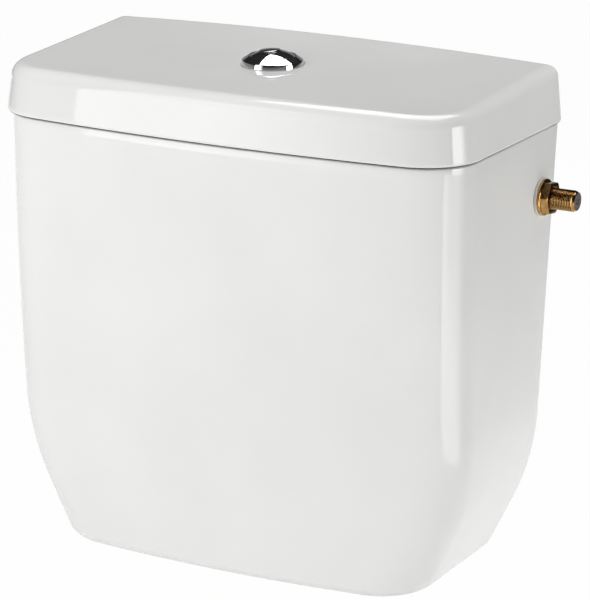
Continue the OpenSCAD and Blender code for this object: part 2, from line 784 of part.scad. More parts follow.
module inlet_gasket() {
    color("dimgray") along_x(inner_x - inlet_gasket_t, inlet_y, inlet_z)
        tube(shank_flange_r, tail_r + 0.2, inlet_gasket_t);
}

module inlet_washer() {
    color("white") along_x(wall_x, inlet_y, inlet_z) tube(washer_r, tail_r + 0.2, washer_t);
}

module inlet_nut() {
    hex_r = nut_af / 2 / cos(30);
    flange_r = washer_r - nut_step;
    edge = 0.8;
    nut_t = nut_flange_t + nut_hex_t;
    color("goldenrod") along_x(wall_x + washer_t, inlet_y, inlet_z) difference() {
        union() {
            rotate_extrude() polygon([
                [0, 0], [flange_r, 0], [flange_r, nut_flange_t - edge], [flange_r - edge, nut_flange_t],
                [0, nut_flange_t]
            ]);
            intersection() {
                rotate(nut_turn) cylinder(r = hex_r, h = nut_t, $fn = 6);
                cylinder(r1 = hex_r + nut_t - edge, r2 = hex_r - edge, h = nut_t);
            }
        }
        translate([0, 0, -1]) cylinder(r = tail_r + 0.1, h = nut_t + 2);
    }
}

module fill_valve_body() {
    socket = shank_in - spigot_len - 1;
    color("white") difference() {
        union() {
            along_x(body_end, inlet_y, inlet_z) cylinder(r = body_r, h = shank_in - slip - body_end);
            along_x(socket - 2, inlet_y, inlet_z)
                cylinder(r = body_r + 3, h = shank_in - slip - socket + 2, $fn = 8);
            along_y(port_x, port_y, inlet_z) cylinder(r = silencer_r + 2, h = inlet_y - port_y);
            translate([port_x, port_y, port_z]) cylinder(r = port_r, h = inlet_z - port_z);
            translate([port_x, port_y, inlet_z]) sphere(r = silencer_r + 2);
        }
        along_x(socket, inlet_y, inlet_z) cylinder(r = spigot_r + 0.1, h = spigot_len + 3);
        along_x(body_end + 3, inlet_y, inlet_z) cylinder(r = water_r, h = socket - body_end);
        along_x(body_end - 1, inlet_y, inlet_z) tube(body_r - 2, water_r + 2, 12);
        along_y(port_x, port_y, inlet_z) cylinder(r = 5, h = inlet_y - port_y - water_r - 3);
        translate([port_x, port_y, port_z - 1]) cylinder(r = silencer_r + 0.1, h = 9);
        translate([port_x, port_y, port_z]) cylinder(r = 5, h = inlet_z - port_z);
    }
}

module diaphragm() {
    color("dimgray") along_x(body_end - diaphragm_t, inlet_y, inlet_z)
        cylinder(r = body_r - 0.3, h = diaphragm_t);
}

module fill_valve_cap() {
    cap_r = body_r + slip + cap_wall;
    rib_r = 1.2;
    lug_y = 5;
    lug_t = 3;
    color("lightgray") difference() {
        union() {
            along_x(cap_end, inlet_y, inlet_z) cylinder(r = cap_r, h = cap_len + cap_front);
            for (a = [0:30:330]) along_x(cap_end, inlet_y, inlet_z) rotate(a) translate([cap_r, 0, 0])
                cylinder(r = rib_r, h = cap_len + cap_front, $fn = 16);
            for (y = [inlet_y - lug_y - lug_t, inlet_y + lug_y]) {
                block([arm_pin_x, y, arm_pin_z - 5], [cap_end + 1, y + lug_t, inlet_z]);
                along_y(arm_pin_x, y, arm_pin_z) cylinder(r = 5, h = lug_t);
            }
        }
        along_x(cap_end + cap_front, inlet_y, inlet_z) cylinder(r = body_r + slip, h = cap_len + 1);
        along_x(cap_end - 1, inlet_y, inlet_z) cylinder(r = plunger_r + slip, h = cap_front + 2);
        along_y(arm_pin_x, inlet_y - lug_y - lug_t - 1, arm_pin_z)
            cylinder(r = arm_pin_r + run, h = 2 * (lug_y + lug_t + 1));
    }
}

module arm_pin() {
    reach = 8;
    color("goldenrod") along_y(arm_pin_x, inlet_y - reach, arm_pin_z) cylinder(r = arm_pin_r, h = 2 * reach);
}

module plunger_pin() {
    color("goldenrod") along_x(plunger_shut - plunger_travel, inlet_y, inlet_z)
        cylinder(r = plunger_r, h = plunger_len);
}

// Turns what the float carries from level to where it hangs in an empty tank
module hung() {
    pivot = [arm_pin_x, inlet_y, arm_pin_z];
    translate(pivot) rotate([0, -arm_drop, 0]) translate(-pivot) children();
}

module float_arm() {
    hub_w = 9;
    clip_r = 6;
    clip_h = 6;
    leg_w = 6;
    from = [arm_pin_x - 4, inlet_y, arm_pin_z];
    to = [float_x, float_y, arm_pin_z];
    span = to - from;
    color("white") hung() difference() {
        union() {
            along_y(arm_pin_x, inlet_y - hub_w / 2, arm_pin_z) cylinder(r = 4.6, h = hub_w);
            block([plunger_shut - touch - 4, inlet_y - leg_w / 2, arm_pin_z],
                  [plunger_shut - touch, inlet_y + leg_w / 2, inlet_z + 3]);
            translate(from) rotate([0, 90, atan2(span[1], span[0])]) cylinder(r = arm_r, h = norm(span));
            translate(to - [0, 0, clip_h / 2]) cylinder(r = clip_r, h = clip_h);
        }
        along_y(arm_pin_x, inlet_y - hub_w, arm_pin_z) cylinder(r = arm_pin_r + run, h = 2 * hub_w);
        translate(to - [0, 0, clip_h]) cylinder(r = stem_r + 0.1, h = 2 * clip_h);
    }
}

module float_stem() {
    color("white") hung() translate([float_x, float_y, float_top - float_h + 8])
        cylinder(r = stem_r, h = float_h + 10);
}

module stem_nut() {
    thumb_r = 6.5;
    thumb_h = 5;
    grip_r = 1;
    color("royalblue") hung() translate([float_x, float_y, arm_pin_z + 3]) difference() {
        union() {
            cylinder(r = thumb_r - grip_r, h = thumb_h);
            for (a = [0:45:315]) rotate(a + 10) translate([thumb_r - grip_r, 0, 0.4])
                cylinder(r = grip_r, h = thumb_h - 0.8);
        }
        translate([0, 0, -1]) cylinder(r = stem_r + 0.1, h = thumb_h + 2);
    }
}

module float() {
    edge = 4;
    color("orange") hung() translate([float_x, float_y, 0]) difference() {
        rotate_extrude() polygon([
            [0, float_top - float_h], [float_r - edge, float_top - float_h],
            [float_r, float_top - float_h + edge],
            [float_r, float_top - edge], [float_r - edge, float_top], [0, float_top]
        ]);
        translate([0, 0, float_top - float_h + 8]) cylinder(r = stem_r + 0.1, h = float_h);
    }
}

module silencer_tube() {
    seated = 7.5;
    silencer_wall = 1.4;
    color("white") translate([port_x, port_y, port_z + seated - silencer_len])
        tube(silencer_r, silencer_r - silencer_wall, silencer_len);
}

tank();
lid();
button_bezel();
bezel_nut();
full_flush_button();
half_flush_button();
full_push_rod();
half_push_rod();
full_return_spring();
half_return_spring();
flush_valve_seat();
seat_gasket();
outlet_washer();
outlet_backnut();
valve_cage();
valve_frame();
overflow_tube();
valve_seal();
seal_retainer();
half_flush_float();
lift_yoke();
full_rocker();
half_rocker();
full_rocker_pin();
half_rocker_pin();
full_key();
half_key();
inlet_shank();
inlet_filter();
inlet_gasket();
inlet_washer();
inlet_nut();
fill_valve_body();
diaphragm();
fill_valve_cap();
arm_pin();
plunger_pin();
float_arm();
float_stem();
stem_nut();
float();
silencer_tube();
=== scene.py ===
"""Looks of a toilet cistern: glazed tank and lid, chromed button, brass inlet and the valves inside."""

import json
from math import atan2, cos, hypot, pi, radians, sin, sqrt, tan

import bpy
from bpy.props import FloatProperty, FloatVectorProperty, IntProperty, PointerProperty
from bpy.types import Operator, Panel, PropertyGroup
from mathutils import Matrix, Vector

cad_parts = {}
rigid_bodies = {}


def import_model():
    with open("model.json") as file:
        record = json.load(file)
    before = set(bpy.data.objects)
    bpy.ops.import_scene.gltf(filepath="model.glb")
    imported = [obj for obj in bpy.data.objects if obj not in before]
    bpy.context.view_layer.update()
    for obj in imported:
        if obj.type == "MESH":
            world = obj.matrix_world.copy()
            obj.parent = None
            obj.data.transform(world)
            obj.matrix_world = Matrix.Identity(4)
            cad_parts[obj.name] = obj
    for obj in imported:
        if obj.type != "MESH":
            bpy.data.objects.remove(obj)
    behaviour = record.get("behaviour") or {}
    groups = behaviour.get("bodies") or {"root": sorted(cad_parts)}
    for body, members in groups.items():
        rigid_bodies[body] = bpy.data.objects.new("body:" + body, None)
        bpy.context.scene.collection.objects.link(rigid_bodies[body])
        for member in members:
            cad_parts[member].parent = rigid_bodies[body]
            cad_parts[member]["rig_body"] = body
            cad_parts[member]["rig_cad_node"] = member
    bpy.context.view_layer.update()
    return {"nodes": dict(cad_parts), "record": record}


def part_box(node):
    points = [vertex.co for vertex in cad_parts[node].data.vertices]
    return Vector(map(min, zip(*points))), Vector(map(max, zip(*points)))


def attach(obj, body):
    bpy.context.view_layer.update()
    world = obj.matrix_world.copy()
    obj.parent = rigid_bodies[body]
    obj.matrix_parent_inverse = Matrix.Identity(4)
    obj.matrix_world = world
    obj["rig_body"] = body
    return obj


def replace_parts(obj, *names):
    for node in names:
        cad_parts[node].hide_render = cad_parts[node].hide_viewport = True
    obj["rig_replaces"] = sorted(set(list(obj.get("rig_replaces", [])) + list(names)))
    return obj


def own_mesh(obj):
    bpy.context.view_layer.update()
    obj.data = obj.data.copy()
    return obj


bl_info = {
    "name": "Toilet cistern",
    "version": (1, 0, 0),
    "blender": (4, 5, 0),
    "location": "View3D > Sidebar > Cistern",
    "description": "Dresses the cistern's solids with glaze, chrome, brass and moulded plastic",
    "category": "Object",
}

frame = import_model()
TANK_LO, TANK_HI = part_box("tank")
LID_LO, LID_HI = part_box("lid")
BEZEL_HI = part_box("button_bezel")[1]
SHANK_LO, SHANK_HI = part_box("inlet_shank")

# Steps of the lofted outlines
BOW_STEPS = 20
CORNER_STEPS = 14
SIDE_STEPS = 8
BACK_CORNER_STEPS = 6
BACK_STEPS = 10
OUTSIDE_STEPS = 56
INSIDE_STEPS = 40
LID_WALL_STEPS = 10
TAIL_STEPS = 72
RINGS_PER_PITCH = 10

# Small lengths in metres: least front and back corners, eased edges, and how far tools stand out of a cut
TANK_LEAST = (0.004, 0.001)
LID_LEAST = (0.008, 0.002)
LIP_EASE = 0.0015
LIP_STRAIGHT = 0.004
SEAT_SINK = 0.0002
NUT_FLAT = 0.027
BEZEL_FOOT = 0.0006
BEZEL_SHOULDER = 0.0013
BEZEL_MOUTH = 0.0005
SPIGOT_STEP = 0.0006
TAIL_CHAMFER = 0.001
TAIL_EASE = 0.0004
MOUTH_DEPTH = 0.0012
MOUTH_RIM = 0.0017
TIP_LENGTH = 0.0002
TIP_ROOT = 0.0003
TIP_FACE = 0.0005
FIXING_EDGE = 0.0004
MOULDED_EDGE = 0.0003
SKIN = 0.0004
OVER = 0.01
PIERCE = 0.002
BORE_SKIN = 0.0001

# Limits of a normal's height for painted faces, share of the thread's flanks painted dark as shade and
# whiteness of the floor
FLAT_DOWN = -0.9
LIP_DOWN = -0.5
SEAT_DOWN = -0.55
UPRIGHT = 0.5
CAP_UPRIGHT = 0.3
FLANK_SHARE = 0.35
FLOOR_WHITE = 0.98


def length(name, description, default):
    return FloatProperty(name=name, description=description, default=default, min=-10.0, max=10.0,
                         precision=5, unit="LENGTH")


def angle(name, description, degrees):
    return FloatProperty(name=name, description=description, default=radians(degrees),
                         unit="ROTATION", subtype="ANGLE")


def colour(name, description, default):
    return FloatVectorProperty(name=name, description=description, default=default, min=0.0, max=1.0,
                               subtype="COLOR")


def strength(name, description, default):
    return FloatProperty(name=name, description=description, default=default, min=0.0)


class CisternTank(PropertyGroup):
    """Sizes of the glazed tank"""

    half_width: length("Half width", "Half the width of the rim", TANK_HI.x)
    height: length("Height", "Height of the rim above the underside", TANK_HI.z)
    front: length("Front", "Front of the rim", TANK_LO.y)
    back: length("Back", "Back of the rim", TANK_HI.y)
    base_width: length("Base width", "Width of the underside between the slanted sides", 0.313)
    base_depth: length("Base depth", "Depth of the underside, centred on the outlet", 0.154)
    side_draft: angle("Side draft", "Draft of the upper side walls", 0.3)
    lower_slant: angle("Lower slant", "Slant of the lower side walls", 24.7)
    shoulder: length("Shoulder radius", "Bend between the upper and lower side walls", 0.180)
    bow: length("Bow radius", "Bow of the front in plan at the rim", 1.5)
    base_bow: length("Base bow radius", "Bow of the front in plan at the underside", 1.05)
    corner: length("Corner radius", "Upright front corners", 0.044)
    back_corner: length("Back corner radius", "Upright back corners", 0.0045)
    inner_corner: length("Inner corner radius", "Upright back corners inside", 0.003)
    base_round: length("Base rounding", "Rounding of the underside's edge", 0.008)
    rim_round: length("Rim rounding", "Rounding of the rim's two edges", 0.0015)
    floor_cove: length("Floor cove", "Cove between the walls and the floor inside", 0.007)
    wall: length("Wall", "Thickness of the walls", 0.009)
    floor: length("Floor", "Thickness of the floor", 0.012)
    outlet_radius: length("Outlet hole", "Radius of the hole for the flush valve", 0.0325)
    bolt_radius: length("Bolt hole", "Radius of the pan bolt holes", 0.0065)
    bolt_gap: length("Bolt gap", "Distance between the pan bolt holes", 0.156)
    inlet_radius: length("Inlet hole", "Radius of the hole for the water inlet", 0.00903)


class CisternLid(PropertyGroup):
    """Sizes of the glazed lid"""

    half_width: length("Half width", "Half the width of the lid", LID_HI.x)
    front: length("Front", "Front of the lid", LID_LO.y)
    back: length("Back", "Back of the lid", LID_HI.y)
    gap: length("Shadow gap", "Gap between the rim and the lid", 0.0008)
    height: length("Height", "Height of the lid at its middle", 0.043)
    wall: length("Wall", "Thickness of the lid", 0.009)
    draft: length("Draft", "How far the walls draw in towards the top", 0.0033)
    top_round: length("Top rounding", "Rounding of the top edge", 0.011)
    edge_round: length("Edge rounding", "Rounding of the lower edge", 0.003)
    tilt: angle("Tilt", "Forward slope of the top", 2.5)
    crown: length("Crown", "Crown of the top from side to side", 0.002)
    rise: length("Rise", "Extra rise of the top at the middle of its back edge", 0.003)
    back_corner: length("Back corner radius", "Back corners in plan", 0.009)
    lip_depth: length("Lip depth", "Depth of the lip inside the rim", 0.008)
    lip_wall: length("Lip wall", "Thickness of that lip", 0.007)
    lip_gap: length("Lip gap", "Gap between the lip and the tank's wall", 0.0025)
    cove: length("Cove", "Cove under the lid's top", 0.008)
    hole_radius: length("Button hole", "Radius of the hole for the button's sleeve", 0.0203)
    nut_seat_radius: length("Nut seat", "Radius of the flat under the bezel nut", 0.029)


class CisternButton(PropertyGroup):
    """Sizes of the flush button"""

    radius: length("Bezel radius", "Radius of the bezel", BEZEL_HI.x)
    band: length("Band", "Height of the bezel's upright band", 0.0044)
    height: length("Bezel height", "Height of the bezel at its inner edge", 0.0084)
    sleeve: length("Sleeve", "Length of the sleeve under the lid's top", 0.036)
    sleeve_radius: length("Sleeve radius", "Radius of the sleeve", 0.0199)
    floor: length("Sleeve floor", "Thickness of the sleeve's floor", 0.0025)
    full_radius: length("Full button", "Radius of the full-flush button", 0.0173)
    dome: length("Dome", "Height of the full-flush button's dome", 0.0046)
    half_radius: length("Half button", "Radius of the half-flush button", 0.0082)
    half_offset: length("Half offset", "Sideways offset of the half-flush button", -0.0024)
    half_proud: length("Half proud", "How far the half-flush button stands out of the dome", 0.0007)
    taper: length("Taper", "How far the band draws in towards its top", 0.0008)
    sunk: length("Sunk rim", "How far the dome's rim lies below the bezel's inner edge", 0.0008)
    skirt: length("Skirt", "Length of the full-flush button's skirt", 0.018)
    cap: length("Cap", "Thickness of the buttons' caps", 0.0022)
    ease: length("Eased edge", "Rounding of the buttons' edges", 0.0005)
    half_depth: length("Half depth", "Depth of the half-flush button below the lid's top", 0.010)
    boss_radius: length("Boss radius", "Radius of the boss for the full-flush rod", 0.0043)
    boss_proud: length("Boss proud", "How far that boss stands out of the skirt", 0.0015)
    clearance: length("Clearance", "Gap round the moving buttons", 0.0004)
    rod_radius: length("Rod radius", "Radius of the push rods", 0.0025)
    rod_offset: length("Rod offset", "Place of the full-flush rod", 0.01175)
    steps: IntProperty(name="Turned steps", description="Steps round a turned piece", default=96, min=24)


class CisternInlet(PropertyGroup):
    """Sizes of the water inlet"""

    depth: length("Axis depth", "Place of the inlet's axis from front to back", (SHANK_LO.y + SHANK_HI.y) / 2)
    height: length("Axis height", "Height of the inlet's axis", (SHANK_LO.z + SHANK_HI.z) / 2)
    tail_radius: length("Tail radius", "Outside radius of the thread", 0.00833)
    bore: length("Bore", "Radius of the water way", 0.0045)
    flange_radius: length("Flange radius", "Radius of the flange inside the tank", 0.0145)
    flange: length("Flange", "Thickness of the flange inside the tank", 0.0035)
    spigot: length("Spigot", "Length of the spigot into the float valve", 0.014)
    thread_pitch: length("Thread pitch", "Pitch of a G 3/8 thread", 0.001337)
    thread_depth: length("Thread depth", "Depth of a G 3/8 thread", 0.00082)


class CisternFinish(PropertyGroup):
    """Colours of the cistern's finishes"""

    glaze: colour("Glaze", "White glaze", (0.80, 0.80, 0.79))
    glaze_shade: colour("Glaze shade", "Glaze where it lies a little thinner", (0.77, 0.77, 0.755))
    biscuit: colour("Biscuit", "Unglazed clay inside and underneath", (0.62, 0.58, 0.51))
    # Seat: the lid's unglazed seat, painted near-black as the shade of the gap under the lid
    seat: colour("Seat", "Unglazed seat round the lid's lower edge, dark from use", (0.07, 0.066, 0.062))
    chrome: colour("Chrome", "Chromed plating", (0.86, 0.86, 0.87))
    # Groove shade: near-black painted shade in the grooves round the buttons, on the bezel's bore and the
    # buttons' upright sides
    bare: colour("Bare plastic", "Plastic of the button where it isn't plated", (0.02, 0.02, 0.02))
    brass: colour("Brass", "Turned brass", (0.50, 0.31, 0.12))
    # Thread shade: dark brown painted shade in the grooves of the thread
    tarnish: colour("Tarnish", "Brass in the grooves of the thread", (0.17, 0.075, 0.03))
    brass_dark: colour("Dark brass", "Brass where it has darkened", (0.36, 0.20, 0.065))
    filter: colour("Filter", "Dull metal of the inlet's filter", (0.30, 0.27, 0.25))
    steel: colour("Steel", "Stainless steel", (0.62, 0.62, 0.61))
    white: colour("White plastic", "White moulded plastic", (0.78, 0.78, 0.76))
    grey: colour("Grey plastic", "Grey moulded plastic", (0.36, 0.40, 0.44))
    blue: colour("Blue plastic", "Blue moulded plastic", (0.03, 0.10, 0.36))
    foam: colour("Foam", "Foamed plastic of the floats", (0.66, 0.64, 0.57))
    rubber: colour("Rubber", "Black rubber", (0.025, 0.025, 0.026))


class CisternStudio(PropertyGroup):
    """Camera and light"""

    azimuth: angle("Azimuth", "Camera's turn round the object", 27.282)
    elevation: angle("Elevation", "Camera's height above the horizon", 16.038)
    roll: angle("Roll", "Camera's roll", 0.706)
    distance: length("Distance", "Camera's distance from its target", 2.58491)
    target_y: length("Target depth", "Depth of the point looked at", 0.042287)
    target_z: length("Target height", "Height of the point looked at", 0.191892)
    lens: FloatProperty(name="Lens", description="Focal length in millimetres", default=195.53, min=10.0)
    floor: length("Floor", "Height of the studio floor, where a pan would stand", -0.40)
    ceiling: length("Ceiling", "Height of the dark studio ceiling", 2.2)
    wall_radius: length("Wall radius", "Radius of the grey studio wall", 4.8)
    wall_height: length("Wall height", "Height at which that wall is dark", 1.9)
    wall: strength("Wall", "Grey of that wall", 0.22)
    wall_fall: strength("Wall fall", "Slope at which its grey falls to the front", 0.12)
    dark: strength("Dark", "Grey of the wall and the screen where they are dark", 0.02)
    screen: strength("Screen", "Grey at the foot of the screen behind on the right", 0.9)
    ambient: strength("Ambient", "Level of the light from all round", 0.1)
    key: strength("Key", "Brightness of the softbox in front on the left", 2.7)
    side: strength("Side", "Brightness of the softbox on the right", 6.2)
    side_low: strength("Side low", "Brightness of that softbox's lower part", 2.1)
    overhead: strength("Overhead", "Brightness of the softbox overhead", 4.6)
    front: strength("Front", "Brightness of the fill in front", 3.3)
    back: strength("Back", "Brightness of the fill behind", 1.2)
    right: strength("Right", "Brightness of the fill on the right", 1.2)


# Working on meshes as by hand

def deselect():
    if bpy.context.mode != "OBJECT":
        bpy.ops.object.mode_set(mode="OBJECT")
    bpy.ops.object.select_all(action="DESELECT")


def activate(piece):
    deselect()
    piece.select_set(True)
    bpy.context.view_layer.objects.active = piece


def edit_all():
    bpy.ops.object.mode_set(mode="EDIT")
    bpy.ops.mesh.select_all(action="SELECT")


def named(name):
    piece = bpy.context.object
    piece.name = name
    piece.data.name = name
    return piece


def smooth(piece, degrees=35):
    activate(piece)
    bpy.ops.object.shade_smooth_by_angle(angle=radians(degrees))


def apply_modifier(piece, kind, **values):
    activate(piece)
    modifier = piece.modifiers.new(kind.lower(), kind)
    for key, value in values.items():
        setattr(modifier, key, value)
    bpy.ops.object.modifier_apply(modifier=modifier.name)


def cut(piece, tool, operation="DIFFERENCE"):
    apply_modifier(piece, "BOOLEAN", operation=operation, solver="EXACT", object=tool)
    bpy.data.objects.remove(tool)


def cutter(radius, low, high, centre=(0, 0), along="Z", steps=96):
    """Round tool between two heights along Z, or two places along X with its centre in Y and Z"""
    deselect()
    middle = (low + high) / 2
    place = (*centre, middle) if along == "Z" else (middle, *centre)
    turn = (0, 0, 0) if along == "Z" else (0, pi / 2, 0)
    bpy.ops.mesh.primitive_cylinder_add(vertices=steps, radius=radius, depth=high - low,
                                        location=place, rotation=turn)
    return bpy.context.object


def loft(name, rings):
    """Wraps a grid round a list of rings, joins its seam and closes what is open"""
    deselect()
    around, along = len(rings[0]), len(rings)
    bpy.ops.mesh.primitive_grid_add(x_subdivisions=around, y_subdivisions=along - 1, size=1)
    piece = named(name)
    points = [p for ring in rings for p in (*ring, ring[0])]
    piece.data.vertices.foreach_set("co", [c for p in points for c in p])
    edit_all()
    bpy.ops.mesh.remove_doubles(threshold=1e-6)
    bpy.ops.mesh.fill_holes(sides=0)
    bpy.ops.mesh.select_all(action="SELECT")
    bpy.ops.mesh.normals_make_consistent(inside=False)
    bpy.ops.object.mode_set(mode="OBJECT")
    return piece


def arc(centre, radius, start, end, steps):
    """Points of an arc in a profile, by angle in degrees"""
    out = []
    for i in range(steps + 1):
        t = radians(start + (end - start) * i / steps)
        out.append((centre[0] + radius * cos(t), centre[1] + radius * sin(t)))
    return out


def rounded(corners, steps=5):
    """Profile with each (radius out, height, rounding) corner turned into an arc"""
    out = []
    for i, (x, z, r) in enumerate(corners):
        here = Vector((x, z))
        if r == 0 or i in (0, len(corners) - 1):
            out.append((x, z))
            continue
        before = (Vector(corners[i - 1][:2]) - here).normalized()
        after = (Vector(corners[i + 1][:2]) - here).normalized()
        half = before.angle(after) / 2
        reach = r / tan(half)
        centre = here + (before + after).normalized() * (r / sin(half))
        a, b = here + before * reach - centre, here + after * reach - centre
        turn = a.angle_signed(b)
        for k in range(steps + 1):
            spun = a.copy()
            spun.rotate(Matrix.Rotation(-turn * k / steps, 2))
            out.append(tuple(centre + spun))
    return out


def turned(name, profile, steps, centre=(0, 0)):
    """Spins a profile of (radius, height) points round an upright axis"""
    deselect()
    bpy.ops.mesh.primitive_plane_add(size=0.001)
    piece = named(name)
    edit_all()
    bpy.ops.mesh.merge(type="CENTER")
    start = (centre[0] + profile[0][0], centre[1], profile[0][1])
    bpy.ops.transform.translate(value=start)
    for (r0, z0), (r1, z1) in zip(profile, profile[1:]):
        bpy.ops.mesh.extrude_vertices_move(TRANSFORM_OT_translate={"value": (r1 - r0, 0, z1 - z0)})
    bpy.ops.mesh.select_all(action="SELECT")
    bpy.ops.mesh.spin(steps=steps, angle=2 * pi, center=(*centre, 0), axis=(0, 0, 1))
    bpy.ops.mesh.select_all(action="SELECT")
    bpy.ops.mesh.remove_doubles(threshold=1e-6)
    bpy.ops.mesh.normals_make_consistent(inside=False)
    bpy.ops.object.mode_set(mode="OBJECT")
    return piece


def finished_copy(node, edge, degrees=30):
    """Copy of a solid with its facets joined, its edges eased and its round faces smooth"""
    activate(frame["nodes"][node])
    bpy.ops.object.duplicate()
    piece = named(node + "_finished")
    piece.parent = None
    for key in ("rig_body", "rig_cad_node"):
        del piece[key]
    edit_all()
    bpy.ops.mesh.remove_doubles(threshold=1e-6)
    bpy.ops.mesh.dissolve_limited(angle_limit=radians(0.5))
    bpy.ops.object.mode_set(mode="OBJECT")
    if edge:
        apply_modifier(piece, "BEVEL", width=edge, segments=2,
                       limit_method="ANGLE", angle_limit=radians(40))
    smooth(piece, degrees)
    return piece


def body_of(node):
    return next(b for b, nodes in frame["record"]["behaviour"]["bodies"].items() if node in nodes)


def slot_of(node):
    return next(s["material_slot"] for s in frame["record"]["subparts"] if s["node"] == node)


def dress(piece, node, *finishes):
    """Gives a piece its finish and sets it on its solid's body in that solid's place"""
    piece.data.materials.clear()
    for name in finishes:
        piece.data.materials.append(finish(name))
    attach(piece, body_of(node))
    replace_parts(piece, node)


def paint(piece, index, wanted):
    """Puts a material slot on the faces that a test picks by centre and normal"""
    for face in piece.data.polygons:
        if wanted(face.center, face.normal):
            face.material_index = index


# Finishes

def new_finish(name):
    made = bpy.data.materials.new(name)
    made.use_nodes = True
    tree = made.node_tree
    shader = tree.nodes["Principled BSDF"]
    return made, tree, shader


def add(tree, kind, **values):
    """New shader node with values in its inputs"""
    node = tree.nodes.new("ShaderNode" + kind)
    for key, value in values.items():
        node.inputs[key].default_value = value
    return node


def link(tree, source, output, target, entry):
    tree.links.new(source.outputs[output], target.inputs[entry])


def noise(tree, scale, detail=3.0):
    node = add(tree, "TexNoise", Scale=scale, Detail=detail)
    link(tree, add(tree, "TexCoord"), "Object", node, "Vector")
    return node


def map_range(tree, low, high, below, above):
    """Node that takes what lies between two limits to what lies between two others"""
    return add(tree, "MapRange", **{"From Min": low, "From Max": high, "To Min": below, "To Max": above})


def vary_colour(tree, shader, source, low, high, start=0.35, end=0.65):
    ramp = add(tree, "ValToRGB")
    for element, place, tint in zip(ramp.color_ramp.elements, (start, end), (low, high)):
        element.position = place
        element.color = (*tint, 1)
    link(tree, source, "Fac", ramp, "Fac")
    link(tree, ramp, "Color", shader, "Base Color")


def vary_roughness(tree, shader, source, low, high, start=0.3, end=0.7):
    spread = map_range(tree, start, end, low, high)
    link(tree, source, "Fac", spread, "Value")
    link(tree, spread, "Result", shader, "Roughness")


def bump(tree, shader, source, height, strength):
    node = add(tree, "Bump", Distance=height, Strength=strength)
    link(tree, source, "Fac", node, "Height")
    link(tree, node, "Normal", shader, "Normal")


def darker(tint, share):
    return [x * share for x in tint]


def glaze_finish(name, low, high):
    made, tree, shader = new_finish(name)
    shader.inputs["IOR"].default_value = 1.52
    vary_colour(tree, shader, noise(tree, 9.0, 2.0), low, high)
    vary_roughness(tree, shader, noise(tree, 30.0), 0.035, 0.06)
    bump(tree, shader, noise(tree, 28.0, 1.0), 0.0006, 0.06)
    return made


def biscuit_finish(name, tint):
    made, tree, shader = new_finish(name)
    vary_colour(tree, shader, noise(tree, 40.0, 6.0), darker(tint, 0.9), tint)
    vary_roughness(tree, shader, noise(tree, 90.0), 0.55, 0.8)
    bump(tree, shader, noise(tree, 900.0, 4.0), 0.0003, 0.5)
    return made


def metal_finish(name, low, high, rough, scale=60.0, grain=None):
    made, tree, shader = new_finish(name)
    shader.inputs["Metallic"].default_value = 1.0
    vary_colour(tree, shader, noise(tree, scale, 4.0), low, high)
    vary_roughness(tree, shader, noise(tree, scale * 6), *rough)
    if grain:
        bump(tree, shader, noise(tree, grain, 2.0), 0.0001, 0.15)
    return made


def moulded_finish(name, tint, rough=(0.22, 0.34), grain=1800.0):
    made, tree, shader = new_finish(name)
    vary_colour(tree, shader, noise(tree, 35.0), darker(tint, 0.93), tint)
    vary_roughness(tree, shader, noise(tree, 160.0), *rough)
    bump(tree, shader, noise(tree, grain, 2.0), 0.00008, 0.25)
    return made


def finish(name):
    """Finds a finish by name, and makes it the first time"""
    if name in bpy.data.materials:
        return bpy.data.materials[name]
    c = bpy.context.scene.cistern_finish
    makers = {
        "white_glaze": (glaze_finish, c.glaze_shade, c.glaze),
        "unglazed_clay": (biscuit_finish, c.biscuit),
        # The seat finish is near-black painted shade for the gap under the lid
        "stained_seat": (biscuit_finish, c.seat),
        "chrome_plate": (metal_finish, darker(c.chrome, 0.96), c.chrome, (0.02, 0.05)),
        "turned_brass": (metal_finish, c.brass_dark, c.brass, (0.10, 0.20), 160.0, 2500.0),
        # The thread finish is dark brown painted shade for the grooves of the thread
        "tarnished_brass": (metal_finish, darker(c.tarnish, 0.5), c.tarnish, (0.2, 0.3), 160.0),
        "dull_filter": (metal_finish, darker(c.filter, 0.8), c.filter, (0.45, 0.6), 400.0),
        "stainless_steel": (metal_finish, darker(c.steel, 0.85), c.steel, (0.25, 0.4), 300.0, 3000.0),
        "white_moulding": (moulded_finish, c.white),
        "grey_moulding": (moulded_finish, c.grey),
        "blue_moulding": (moulded_finish, c.blue),
        "foam_moulding": (moulded_finish, c.foam, (0.55, 0.7), 900.0),
        # The groove finish is near-black painted shade for the grooves round the buttons
        "bare_moulding": (moulded_finish, c.bare, (0.4, 0.55)),
        "black_rubber": (moulded_finish, c.rubber, (0.5, 0.65), 1400.0),
    }
    maker, *values = makers[name]
    return maker(name, *values)


SLOT_FINISH = {
    "glaze": "white_glaze",
    "chrome": "chrome_plate",
    "white_plastic": "white_moulding",
    "grey_plastic": "grey_moulding",
    "blue_plastic": "blue_moulding",
    "float_plastic": "foam_moulding",
    "rubber": "black_rubber",
    "brass": "turned_brass",
    "steel": "stainless_steel",
}


# Outlines of the tank and the lid

